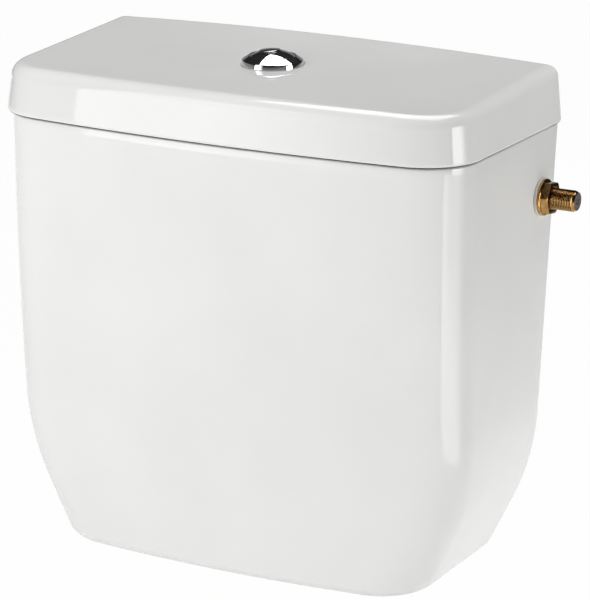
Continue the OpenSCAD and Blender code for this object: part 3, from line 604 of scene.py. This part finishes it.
def plan(half, front, back, bow, corner, back_corner, inset, least):
    """Plan outline from the middle of a bowed front, moved inwards, with corners of a least radius"""
    half, front, back = half - inset, front + inset, back - inset
    corner, back_corner = max(corner - inset, least[0]), max(back_corner - inset, least[1])
    corner_x = half - corner
    bow_y = front + bow
    corner_y = bow_y - sqrt((bow - corner) ** 2 - corner_x ** 2)
    tilt = atan2(corner_x, bow_y - corner_y)
    right = []
    for i in range(BOW_STEPS + 1):
        a = tilt * i / BOW_STEPS
        right.append((bow * sin(a), bow_y - bow * cos(a)))
    for i in range(1, CORNER_STEPS + 1):
        a = tilt + (pi / 2 - tilt) * i / CORNER_STEPS
        right.append((corner_x + corner * sin(a), corner_y - corner * cos(a)))
    top = back - back_corner
    right += [(half, corner_y + (top - corner_y) * i / SIDE_STEPS) for i in range(1, SIDE_STEPS)]
    for i in range(BACK_CORNER_STEPS + 1):
        a = pi / 2 * i / BACK_CORNER_STEPS
        right.append((half - back_corner + back_corner * cos(a), top + back_corner * sin(a)))
    right += [((half - back_corner) * (1 - i / BACK_STEPS), back) for i in range(1, BACK_STEPS + 1)]
    return right + [(-x, y) for x, y in reversed(right[1:-1])]


def half_width_at(t, z):
    """Half the tank's width at a height, through the bend between its upper and lower sides"""
    draft, slant = tan(t.side_draft), tan(t.lower_slant)
    upper = t.half_width - draft * (t.height - z)
    lower = t.base_width / 2 + slant * z
    knee = (t.half_width - draft * t.height - t.base_width / 2) / (slant - draft)
    reach = t.shoulder * tan((t.lower_slant - t.side_draft) / 2)
    arc_top = knee + reach * cos(t.side_draft)
    arc_bottom = knee - reach * cos(t.lower_slant)
    if z >= arc_top:
        return upper
    if z <= arc_bottom:
        return lower
    at_top = t.half_width - draft * (t.height - arc_top)
    middle_x = at_top - t.shoulder * cos(t.side_draft)
    middle_z = arc_top + t.shoulder * sin(t.side_draft)
    return middle_x + sqrt(t.shoulder ** 2 - (z - middle_z) ** 2)


def tank_ring(t, z, inset, inside=False):
    low = 1 - z / t.height
    front = t.front + (-t.base_depth / 2 - t.front) * low ** 2
    back = t.back - (t.back - t.base_depth / 2) * low
    bow = 1 / (1 / t.bow + (1 / t.base_bow - 1 / t.bow) * low)
    back_corner = t.inner_corner + t.wall if inside else t.back_corner
    outline = plan(half_width_at(t, z), front, back, bow, t.corner, back_corner, inset, TANK_LEAST)
    return [(x, y, z) for x, y in outline]


def tank_rings(t):
    """Rings from the underside up the outside, over the rim and down the inside to the floor"""
    rings = []
    for x, z in arc((0, t.base_round), t.base_round, -90, 0, 8):
        rings.append(tank_ring(t, z, t.base_round - x))
    top, bottom = t.height - t.rim_round, t.base_round
    for i in range(1, OUTSIDE_STEPS):
        rings.append(tank_ring(t, bottom + (top - bottom) * i / OUTSIDE_STEPS, 0))
    for x, z in arc((-t.rim_round, top), t.rim_round, 0, 90, 5):
        rings.append(tank_ring(t, z, -x))
    for x, z in arc((t.rim_round - t.wall, top), t.rim_round, 90, 180, 5):
        rings.append(tank_ring(t, z, -x, inside=True))
    low = t.floor + t.floor_cove
    for i in range(1, INSIDE_STEPS):
        rings.append(tank_ring(t, top + (low - top) * i / INSIDE_STEPS, t.wall, inside=True))
    for x, z in arc((-t.wall - t.floor_cove, low), t.floor_cove, 0, -90, 6):
        rings.append(tank_ring(t, z, -x, inside=True))
    return rings


def lid_rings(l, t):
    """Rings from under the middle of the top, down the inside, round the lip and up the outside"""
    base = t.height + l.gap
    middle = (l.front + l.back) / 2
    corner = t.corner + (l.half_width - t.half_width)

    def top(x, y):
        across = (x / l.half_width) ** 2
        behind = (max(y, 0) / l.back) ** 2
        return base + l.height + tan(l.tilt) * y - l.crown * across + l.rise * (1 - across) * behind

    def outline(inset):
        return plan(l.half_width, l.front, l.back, t.bow, corner, l.back_corner, inset, LID_LEAST)

    def level(inset, z):
        return [(x, y, z) for x, y in outline(inset)]

    def under_top(inset, drop):
        return [(x, y, top(x, y) - drop) for x, y in outline(inset)]

    def shrunk(inset, share, drop):
        points = [(x * share, middle + (y - middle) * share) for x, y in outline(inset)]
        return [(x, y, top(x, y) - drop) for x, y in points]

    def lip(inset, z):
        return [(x, y, z) for x, y in plan(t.half_width, t.front, t.back, t.bow, t.corner,
                                           t.inner_corner + t.wall, inset, LID_LEAST)]

    cavity = l.draft + l.wall
    lip_out = t.wall + l.lip_gap
    lip_in = lip_out + l.lip_wall
    lip_foot = base - l.lip_depth
    rings = [shrunk(cavity + l.cove, k, l.wall) for k in (0.2, 0.4, 0.6, 0.8)]
    for x, z in arc((0, 0), l.cove, 90, 0, 6):
        rings.append(under_top(cavity + l.cove - x, l.wall + l.cove - z))
    rings.append(level(cavity, base + l.cove + LIP_STRAIGHT))
    rings.append(level(cavity, base + l.cove))
    for inset, z in ((lip_in, base), (lip_in, lip_foot + LIP_EASE), (lip_in - LIP_EASE, lip_foot),
                     (lip_out + LIP_EASE, lip_foot), (lip_out, lip_foot + LIP_EASE), (lip_out, base)):
        rings.append(lip(inset, z))
    for x, z in arc((0, l.edge_round), l.edge_round, -90, 0, 6):
        rings.append(level(l.edge_round - x, base + z))
    start = under_top(l.draft, l.top_round)
    edge = level(0, base + l.edge_round)
    for i in range(1, LID_WALL_STEPS):
        k = i / LID_WALL_STEPS
        rings.append([tuple(a + (b - a) * k for a, b in zip(p, q)) for p, q in zip(edge, start)])
    for x, z in arc((0, 0), l.top_round, 0, 90, 12):
        rings.append(under_top(l.draft + l.top_round - x, l.top_round - z))
    rings += [shrunk(l.draft + l.top_round, k / 20, 0) for k in range(19, 1, -1)]
    return rings


def bezel_seat(t, l, b):
    """Height of the flat for the bezel, a little below the lowest point of the lid's top there"""
    return t.height + l.gap + l.height - tan(l.tilt) * b.radius - SEAT_SINK


class CISTERN_OT_tank(Operator):
    """Lofts the glazed tank with its rim, floor and holes"""

    bl_idname = "cistern.tank"
    bl_label = "Tank"

    def execute(self, context):
        t = context.scene.cistern_tank
        inlet = context.scene.cistern_inlet
        piece = loft("glazed_tank", tank_rings(t))
        cut(piece, cutter(t.outlet_radius, -OVER, t.floor + OVER))
        for side in (-1, 1):
            cut(piece, cutter(t.bolt_radius, -OVER, t.floor + OVER, (side * t.bolt_gap / 2, 0), steps=48))
        wall_x = t.half_width
        cut(piece, cutter(t.inlet_radius, wall_x - 3 * OVER, wall_x + OVER, (inlet.depth, inlet.height),
                          along="X", steps=64))
        smooth(piece)
        dress(piece, "tank", "white_glaze", "unglazed_clay")
        paint(piece, 1, lambda c, n: c.z < SKIN and n.z < FLAT_DOWN)
        return {"FINISHED"}


class CISTERN_OT_lid(Operator):
    """Lofts the glazed lid with its lip, crown and button hole"""

    bl_idname = "cistern.lid"
    bl_label = "Lid"

    def execute(self, context):
        t, l, b = context.scene.cistern_tank, context.scene.cistern_lid, context.scene.cistern_button
        base = t.height + l.gap
        seat = bezel_seat(t, l, b)
        under = base + l.height - l.wall + tan(l.tilt) * NUT_FLAT
        piece = loft("glazed_lid", lid_rings(l, t))
        cut(piece, cutter(l.hole_radius, base, base + 2 * l.height))
        cut(piece, cutter(b.radius + b.clearance, seat, base + 2 * l.height, steps=128))
        cut(piece, cutter(l.nut_seat_radius, base, under))
        smooth(piece)
        dress(piece, "lid", "white_glaze", "unglazed_clay", "stained_seat")
        paint(piece, 1, lambda c, n: c.z < base - l.lip_depth + SKIN and n.z < LIP_DOWN)
        # Painted shade: the lid's seat and the lower part of its edge rounding go near-black, for the shade
        # in the gap under the lid
        paint(piece, 2, lambda c, n: base - SKIN < c.z < base + l.edge_round and n.z < SEAT_DOWN)
        return {"FINISHED"}


class CISTERN_OT_button(Operator):
    """Turns the chromed bezel and its two buttons"""

    bl_idname = "cistern.button"
    bl_label = "Flush button"

    def execute(self, context):
        t, l, b = context.scene.cistern_tank, context.scene.cistern_lid, context.scene.cistern_button
        steps = b.steps
        seat = bezel_seat(t, l, b)
        bore = b.full_radius + b.clearance
        floor_z = seat - b.sleeve
        bezel = turned("chrome_bezel", rounded([
            (0, floor_z, 0), (b.sleeve_radius, floor_z, BEZEL_FOOT), (b.sleeve_radius, seat, 0),
            (b.radius, seat, BEZEL_FOOT), (b.radius - b.taper, seat + b.band, BEZEL_SHOULDER),
            (bore, seat + b.height, BEZEL_MOUTH), (bore, floor_z + b.floor, BEZEL_FOOT),
            (0, floor_z + b.floor, 0),
        ]), steps + 32)
        for x in (b.rod_offset, b.half_offset):
            cut(bezel, cutter(b.rod_radius + b.clearance, floor_z - PIERCE, floor_z + b.floor + PIERCE,
                              (x, 0), steps=40))
        smooth(bezel)
        dress(bezel, "button_bezel", "chrome_plate", "bare_moulding")
        # Painted shade: the bezel's bore goes near-black, for the shade in the groove round the full-flush
        # button
        paint(bezel, 1, lambda c, n: hypot(c.x, c.y) < bore + BORE_SKIN and abs(n.z) < UPRIGHT)
        self.full(b, seat, steps)
        self.half(b, seat, steps)
        return {"FINISHED"}

    @staticmethod
    def dome(b, seat, proud):
        """Height of the full-flush button's dome, or of a ball that stands proud of it, by place in plan"""
        ball = (b.full_radius ** 2 + b.dome ** 2) / (2 * b.dome)
        middle = seat + b.height - b.sunk + b.dome - ball
        return lambda x, y: middle + sqrt((ball + proud) ** 2 - x * x - y * y)

    @staticmethod
    def ring(x, radius, height, steps):
        """Level or domed ring round an upright axis at x"""
        out = []
        for k in range(steps):
            a = 2 * pi * k / steps
            px, py = x + radius * cos(a), radius * sin(a)
            out.append((px, py, height(px, py) if callable(height) else height))
        return out

    def full(self, b, seat, steps):
        """Domed cap with a skirt, a socket round the half-flush button and a boss for its own rod"""
        dome = self.dome(b, seat, 0)
        edge = seat + b.height - b.sunk
        skirt, cap, ease = edge - b.skirt, edge - b.cap, b.ease
        hole = b.half_radius + b.clearance
        inner, outer = hole + ease, b.full_radius - ease
        rings = [self.ring(b.half_offset, hole, z, steps) for z in (skirt, edge)]
        for x, z in arc((0, 0), ease, 180, 90, 4):
            rings.append(self.ring(b.half_offset, inner + x,
                                   lambda px, py, z=z: dome(px, py) - ease + z, steps))
        for k in range(1, 16):
            share = k / 16
            rings.append(self.ring(b.half_offset * (1 - share), inner + (outer - inner) * share, dome, steps))
        for x, z in arc((0, 0), ease, 90, 0, 4):
            rings.append(self.ring(0, outer + x, dome(outer, 0) - ease + z, steps))
        inside, socket = b.full_radius - b.cap, hole + b.cap
        for x, radius, z in ((0, b.full_radius, skirt), (0, inside, skirt), (0, inside, cap),
                             (b.half_offset, socket, cap), (b.half_offset, socket, skirt)):
            rings.append(self.ring(x, radius, z, steps))
        rings.append(rings[0])
        piece = loft("full_flush_cap", rings)
        boss_top, boss_foot = cap + b.cap / 2, skirt - b.boss_proud
        boss = turned("boss", [(0, boss_top), (b.boss_radius, boss_top), (b.boss_radius, boss_foot),
                               (0, boss_foot)], steps // 2, (b.rod_offset, 0))
        cut(piece, boss, "UNION")
        cut(piece, cutter(b.rod_radius, skirt - 2 * b.boss_proud, cap, (b.rod_offset, 0), steps=steps // 2))
        smooth(piece)
        dress(piece, "full_flush_button", "chrome_plate", "bare_moulding")
        # Painted shade: the button's upright sides go near-black, for the shade in the grooves round it
        paint(piece, 1, lambda c, n: abs(n.z) < CAP_UPRIGHT)

    def half(self, b, seat, steps):
        """Small raised cap, cut from a ball a little larger than the other button's dome"""
        dome = self.dome(b, seat, b.half_proud)
        x0, ease = b.half_offset, b.ease
        inner = b.half_radius - ease
        low = seat - b.half_depth
        rings = [self.ring(x0, inner * k / 10, dome, steps) for k in range(1, 10)]
        for x, z in arc((0, 0), ease, 90, 0, 5):
            rings.append(self.ring(x0, inner + x, lambda px, py, z=z: dome(px, py) - ease + z, steps))
        for radius, z in ((b.half_radius, low + ease), (inner, low), (b.rod_radius, low),
                          (b.rod_radius, seat + b.height - b.cap)):
            rings.append(self.ring(x0, radius, z, steps))
        piece = loft("half_flush_cap", rings)
        smooth(piece)
        dress(piece, "half_flush_button", "chrome_plate", "bare_moulding")
        # Painted shade: the half-flush button's upright sides go near-black, for the shade in the groove
        # round it
        paint(piece, 1, lambda c, n: abs(n.z) < CAP_UPRIGHT)


class CISTERN_OT_inlet(Operator):
    """Cuts the thread of the brass tail and eases its nut and washer"""

    bl_idname = "cistern.inlet"
    bl_label = "Water inlet"

    def execute(self, context):
        i = context.scene.cistern_inlet
        start, end = SHANK_LO.x, SHANK_HI.x
        spigot = i.tail_radius - SPIGOT_STEP
        flange = start + i.spigot
        thread_from, thread_to = flange + i.flange, end - TAIL_CHAMFER

        def ring(x, radius):
            out = []
            for k in range(TAIL_STEPS):
                a = 2 * pi * k / TAIL_STEPS
                r = radius(a) if callable(radius) else radius
                out.append((x, i.depth + r * cos(a), i.height + r * sin(a)))
            return out

        def thread(x):
            fade = min(1.0, (x - thread_from) / i.thread_pitch, (thread_to - x) / i.thread_pitch)

            def radius(a):
                phase = ((x - thread_from) / i.thread_pitch - a / (2 * pi)) % 1.0
                ridge = min(1.0, max(0.0, 1.25 - 2.5 * abs(phase - 0.5)))
                return i.tail_radius - i.thread_depth * (1 - ridge * max(fade, 0.0))
            return radius

        seat = i.tail_radius - MOUTH_RIM
        root = i.tail_radius - i.thread_depth
        mouth = end - MOUTH_DEPTH
        eased_flange = i.flange_radius - TAIL_EASE
        rings = [ring(start, i.bore), ring(start, spigot - TAIL_EASE), ring(start + TAIL_EASE, spigot),
                 ring(flange, spigot), ring(flange, eased_flange),
                 ring(flange + TAIL_EASE, i.flange_radius),
                 ring(flange + i.flange - TAIL_EASE, i.flange_radius),
                 ring(flange + i.flange, eased_flange)]
        count = int((thread_to - thread_from) / i.thread_pitch * RINGS_PER_PITCH)
        for k in range(count + 1):
            x = thread_from + (thread_to - thread_from) * k / count
            rings.append(ring(x, thread(x)))
        rings += [ring(end - TIP_LENGTH, root - TIP_ROOT), ring(end, root - TIP_FACE), ring(end, seat),
                  ring(mouth, seat), ring(mouth, i.bore), ring(start, i.bore)]
        tail = loft("threaded_tail", rings)
        smooth(tail)
        dress(tail, "inlet_shank", "turned_brass", "tarnished_brass")
        # Painted shade: the thread's lower flanks and roots go dark brown, for the shade in its grooves
        crest = i.tail_radius - FLANK_SHARE * i.thread_depth
        paint(tail, 1, lambda c, n: thread_from < c.x < thread_to - i.thread_pitch
              and hypot(c.y - i.depth, c.z - i.height) < crest)
        for node in ("inlet_nut", "inlet_washer"):
            dress(finished_copy(node, FIXING_EDGE), node, SLOT_FINISH[slot_of(node)])
        dress(finished_copy("inlet_filter", 0.0), "inlet_filter", "dull_filter")
        return {"FINISHED"}


class CISTERN_OT_springs(Operator):
    """Winds the two return springs under the buttons"""

    bl_idname = "cistern.springs"
    bl_label = "Return springs"

    def execute(self, context):
        for node, joint in (("full_return_spring", "full_press"), ("half_return_spring", "half_press")):
            low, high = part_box(node)
            piece = self.coil(node + "_wound", low, high)
            dress(piece, node, "stainless_steel")
            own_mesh(piece)
        return {"FINISHED"}

    @staticmethod
    def coil(name, low, high, wire=0.0006, turns=6, per_turn=28, sides=10):
        radius = (high.x - low.x) / 2 - wire
        x, y = (low.x + high.x) / 2, (low.y + high.y) / 2
        rise = high.z - low.z - 2 * wire
        rings = []
        for i in range(turns * per_turn + 1):
            a = 2 * pi * i / per_turn
            z = low.z + wire + rise * i / (turns * per_turn)
            out = Vector((cos(a), sin(a), 0))
            centre = Vector((x, y, z)) + out * radius
            rings.append([tuple(centre + wire * (out * cos(k) + Vector((0, 0, 1)) * sin(k)))
                          for k in (2 * pi * s / sides for s in range(sides))])
        piece = loft(name, rings)
        smooth(piece, 60)
        return piece


class CISTERN_OT_valves(Operator):
    """Eases the edges of the moulded, rubber and metal pieces inside and gives them their finishes"""

    bl_idname = "cistern.valves"
    bl_label = "Valves and fixings"

    def execute(self, context):
        done = {n for o in bpy.data.objects for n in o.get("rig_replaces", [])}
        for node in sorted(frame["nodes"]):
            if node in done:
                continue
            slot = slot_of(node)
            piece = finished_copy(node, 0.0 if slot == "steel" else MOULDED_EDGE)
            dress(piece, node, SLOT_FINISH[slot])
        return {"FINISHED"}


# Softboxes: azimuth in degrees, distance, lowest and highest edge, width, name of the brightness,
# whether what is glossy mirrors it, and the share of its width at which it starts to fade out
SOFTBOXES = {
    "key_front_left": (-24, 2.2, -0.10, 2.15, 1.25, "key", True, 0.4),
    "side_right": (93, 1.2, 0.12, 0.6, 0.58, "side", True, 0.55),
    "side_low": (97, 1.2, -0.39, 0.12, 0.55, "side_low", False, 1.0),
    "side_card": (88, 1.2, -0.39, 0.12, 0.95, "side_low", True, 0.6),
    "fill_front": (-9, 1.6, -0.2, 1.4, 1.0, "front", False, 1.0),
    "fill_back": (185, 3.0, -0.3, 1.8, 2.0, "back", False, 1.0),
    "fill_right": (125, 2.0, -0.1, 0.9, 1.4, "right", False, 1.0),
}

# Overhead lamp: width, depth and place
OVERHEAD_SIZE = (1.3, 1.25)
OVERHEAD_PLACE = (-0.05, 0.475, 1.9)

# Dark screen: azimuth in degrees, distance, size, and how far its middle and its fade lie above the floor
SCREEN_AZIMUTH = 120
SCREEN_AWAY = 1.35
SCREEN_SIZE = (2.6, 1.5)
SCREEN_MIDDLE = 0.76
SCREEN_FADE = 0.28


def soft_lamp(name, width, depth, radiance):
    """Rectangular lamp of a given brightness, hidden from the camera"""
    data = bpy.data.lights.new(name, "AREA")
    data.shape = "RECTANGLE"
    data.size = width
    data.size_y = depth
    data.energy = radiance * pi * width * depth
    lamp = bpy.data.objects.new(name, data)
    lamp.visible_camera = False
    bpy.context.scene.collection.objects.link(lamp)
    return lamp


def softbox(name, azimuth, distance, bottom, top, width, radiance, mirrored, full):
    """Upright soft lamp on an azimuth in degrees, which fades out past a share of its width"""
    a = radians(azimuth)
    away = Vector((sin(a), -cos(a), 0))
    lamp = soft_lamp(name, width, top - bottom, radiance)
    if full < 1:
        fade_out(lamp.data, full)
    lamp.location = away * distance + Vector((0, 0, (bottom + top) / 2))
    lamp.rotation_euler = away.to_track_quat("Z", "Y").to_euler()
    lamp.visible_glossy = mirrored


def fade_out(data, full):
    """Dims a lamp smoothly from a share of its width to its far edge"""
    data.use_nodes = True
    tree = data.node_tree
    split, ramp = add(tree, "SeparateXYZ"), map_range(tree, full, 1.0, 1.0, 0.0)
    link(tree, add(tree, "NewGeometry"), "Parametric", split, "Vector")
    link(tree, split, "X", ramp, "Value")
    link(tree, ramp, "Result", tree.nodes["Emission"], "Strength")


def fading_glow(name, low, high, below, above, fall=0.0):
    """Glow that changes from one strength to another between two heights, which lie lower in front"""
    made, tree, _ = new_finish(name)
    glow, split, lower = add(tree, "Emission"), add(tree, "SeparateXYZ"), add(tree, "Math")
    lower.operation = "MULTIPLY_ADD"
    lower.inputs[1].default_value = -fall
    ramp = map_range(tree, low, high, below, above)
    link(tree, add(tree, "TexCoord"), "Object", split, "Vector")
    link(tree, split, "Y", lower, 0)
    link(tree, split, "Z", lower, 2)
    link(tree, lower, "Value", ramp, "Value")
    link(tree, ramp, "Result", glow, "Strength")
    link(tree, glow, "Emission", tree.nodes["Material Output"], "Surface")
    return made


def mix_shaders(tree, share, first, second, output):
    """Mixes two shaders by a share and sends the mix to an output"""
    mix = add(tree, "MixShader")
    for source, place in ((share, "Fac"), (first, 1), (second, 2)):
        tree.links.new(source, mix.inputs[place])
    link(tree, mix, "Shader", tree.nodes[output], "Surface")


def on_stage(name, made, *hidden_from):
    """Names the newest piece of the stage, gives it a finish and hides it from some kinds of ray"""
    piece = named(name)
    piece.data.materials.append(made)
    for rays in hidden_from:
        setattr(piece, "visible_" + rays, False)


class CISTERN_OT_stage(Operator):
    """Sets up the pale floor, the dark ceiling, the grey wall, the screen, the soft light and the camera"""

    bl_idname = "cistern.stage"
    bl_label = "Stage"

    def execute(self, context):
        s = context.scene.cistern_studio
        scene = context.scene
        scene.view_settings.view_transform = "Standard"
        self.world(scene, s)
        self.floor(s)
        self.ceiling(s)
        self.wall(s)
        self.flag(s)
        for name, (*place, level, mirrored, full) in SOFTBOXES.items():
            softbox(name, *place, getattr(s, level), mirrored, full)
        bpy.data.objects["side_card"].visible_diffuse = False
        soft_lamp("overhead", *OVERHEAD_SIZE, s.overhead).location = OVERHEAD_PLACE
        self.camera(scene, s)
        return {"FINISHED"}

    @staticmethod
    def white_rays(tree):
        """One for rays seen straight, mirrored or through glass, and nought for light on things"""
        path = add(tree, "LightPath")
        total = path.outputs["Is Camera Ray"]
        for other in ("Is Glossy Ray", "Is Transmission Ray"):
            larger = add(tree, "Math")
            larger.operation = "MAXIMUM"
            tree.links.new(total, larger.inputs[0])
            tree.links.new(path.outputs[other], larger.inputs[1])
            total = larger.outputs["Value"]
        return total

    def world(self, scene, s):
        world = bpy.data.worlds.new("studio")
        scene.world = world
        world.use_nodes = True
        tree = world.node_tree
        ambient = tree.nodes["Background"]
        ambient.inputs["Color"].default_value = (1, 1, 1, 1)
        ambient.inputs["Strength"].default_value = s.ambient
        white = add(tree, "Background", Color=(1, 1, 1, 1))
        mix_shaders(tree, self.white_rays(tree), ambient.outputs["Background"],
                    white.outputs["Background"], "World Output")

    def floor(self, s):
        deselect()
        bpy.ops.mesh.primitive_plane_add(size=60, location=(0, 0, s.floor))
        made, tree, shader = new_finish("pale_floor")
        vary_colour(tree, shader, noise(tree, 0.8), (0.84, 0.84, 0.84), (0.86, 0.86, 0.86))
        shader.inputs["Roughness"].default_value = 0.9
        glow, share = add(tree, "Emission"), add(tree, "Math")
        share.operation = "MULTIPLY"
        share.inputs[1].default_value = FLOOR_WHITE
        tree.links.new(self.white_rays(tree), share.inputs[0])
        mix_shaders(tree, share.outputs["Value"], shader.outputs["BSDF"], glow.outputs["Emission"],
                    "Material Output")
        on_stage("studio_floor", made)

    @staticmethod
    def ceiling(s):
        """Dark ceiling over the studio, which chrome mirrors as black"""
        deselect()
        bpy.ops.mesh.primitive_plane_add(size=2.2 * s.wall_radius, location=(0, 0, s.ceiling))
        made, tree, shader = new_finish("dark_ceiling")
        vary_colour(tree, shader, noise(tree, 0.8), (0.028, 0.028, 0.028), (0.032, 0.032, 0.032))
        shader.inputs["Roughness"].default_value = 1.0
        on_stage("studio_ceiling", made, "camera")

    @staticmethod
    def wall(s):
        """Grey wall round the studio, which darkens upwards and shows only in what is glossy"""
        deselect()
        middle = (0, 0, (s.ceiling + s.floor) / 2)
        bpy.ops.mesh.primitive_cylinder_add(vertices=96, radius=s.wall_radius, depth=s.ceiling - s.floor,
                                            end_fill_type="NOTHING", location=middle)
        bpy.ops.object.transform_apply()
        glow = fading_glow("grey_wall", s.wall_height / 2, s.wall_height, s.wall, s.dark, s.wall_fall)
        on_stage("studio_wall", glow, "camera", "diffuse")

    @staticmethod
    def flag(s):
        """Dark screen behind on the right, which shows only in what is glossy"""
        deselect()
        a = radians(SCREEN_AZIMUTH)
        place = (SCREEN_AWAY * sin(a), -SCREEN_AWAY * cos(a), s.floor + SCREEN_MIDDLE)
        bpy.ops.mesh.primitive_plane_add(size=1, location=place, rotation=(pi / 2, 0, a))
        bpy.context.object.scale = (*SCREEN_SIZE, 1)
        bpy.ops.object.transform_apply()
        glow = fading_glow("dark_screen", s.floor, s.floor + SCREEN_FADE, s.screen, s.dark)
        on_stage("studio_flag", glow, "camera", "diffuse", "shadow")

    @staticmethod
    def camera(scene, s):
        a, e = s.azimuth, s.elevation
        back = Vector((sin(a) * cos(e), -cos(a) * cos(e), sin(e)))
        right = Vector((cos(a), sin(a), 0))
        up = back.cross(right)
        turned_right = right * cos(s.roll) + up * sin(s.roll)
        turned_up = up * cos(s.roll) - right * sin(s.roll)
        data = bpy.data.cameras.new("photo_camera")
        data.lens = s.lens
        data.sensor_width = 36
        data.clip_end = 200
        camera = bpy.data.objects.new("photo_camera", data)
        place = Vector((0, s.target_y, s.target_z)) + back * s.distance
        turn = Matrix((turned_right, turned_up, back)).transposed().to_4x4()
        camera.matrix_world = Matrix.Translation(place) @ turn
        scene.collection.objects.link(camera)
        scene.camera = camera


class CISTERN_PT_panel(Panel):
    """Lists the cistern's pieces"""

    bl_idname = "CISTERN_PT_panel"
    bl_label = "Cistern"
    bl_space_type = "VIEW_3D"
    bl_region_type = "UI"
    bl_category = "Cistern"

    def draw(self, context):
        for operator in OPERATORS:
            self.layout.operator(operator.bl_idname)
        for group in GROUPS:
            box = self.layout.box()
            settings = getattr(context.scene, group)
            for key in settings.bl_rna.properties.keys():
                if key not in ("rna_type", "name"):
                    box.prop(settings, key)


GROUPS = {
    "cistern_tank": CisternTank,
    "cistern_lid": CisternLid,
    "cistern_button": CisternButton,
    "cistern_inlet": CisternInlet,
    "cistern_finish": CisternFinish,
    "cistern_studio": CisternStudio,
}
OPERATORS = (
    CISTERN_OT_stage,
    CISTERN_OT_tank,
    CISTERN_OT_lid,
    CISTERN_OT_button,
    CISTERN_OT_inlet,
    CISTERN_OT_springs,
    CISTERN_OT_valves,
)


def register():
    for group, made in GROUPS.items():
        bpy.utils.register_class(made)
        setattr(bpy.types.Scene, group, PointerProperty(type=made))
    for made in (*OPERATORS, CISTERN_PT_panel):
        bpy.utils.register_class(made)


def unregister():
    for made in (CISTERN_PT_panel, *reversed(OPERATORS)):
        bpy.utils.unregister_class(made)
    for group, made in GROUPS.items():
        delattr(bpy.types.Scene, group)
        bpy.utils.unregister_class(made)


def main():
    register()
    bpy.ops.cistern.stage()
    bpy.ops.cistern.tank()
    bpy.ops.cistern.lid()
    bpy.ops.cistern.button()
    bpy.ops.cistern.inlet()
    bpy.ops.cistern.springs()
    bpy.ops.cistern.valves()
    deselect()


if __name__ == "__main__":
    main()
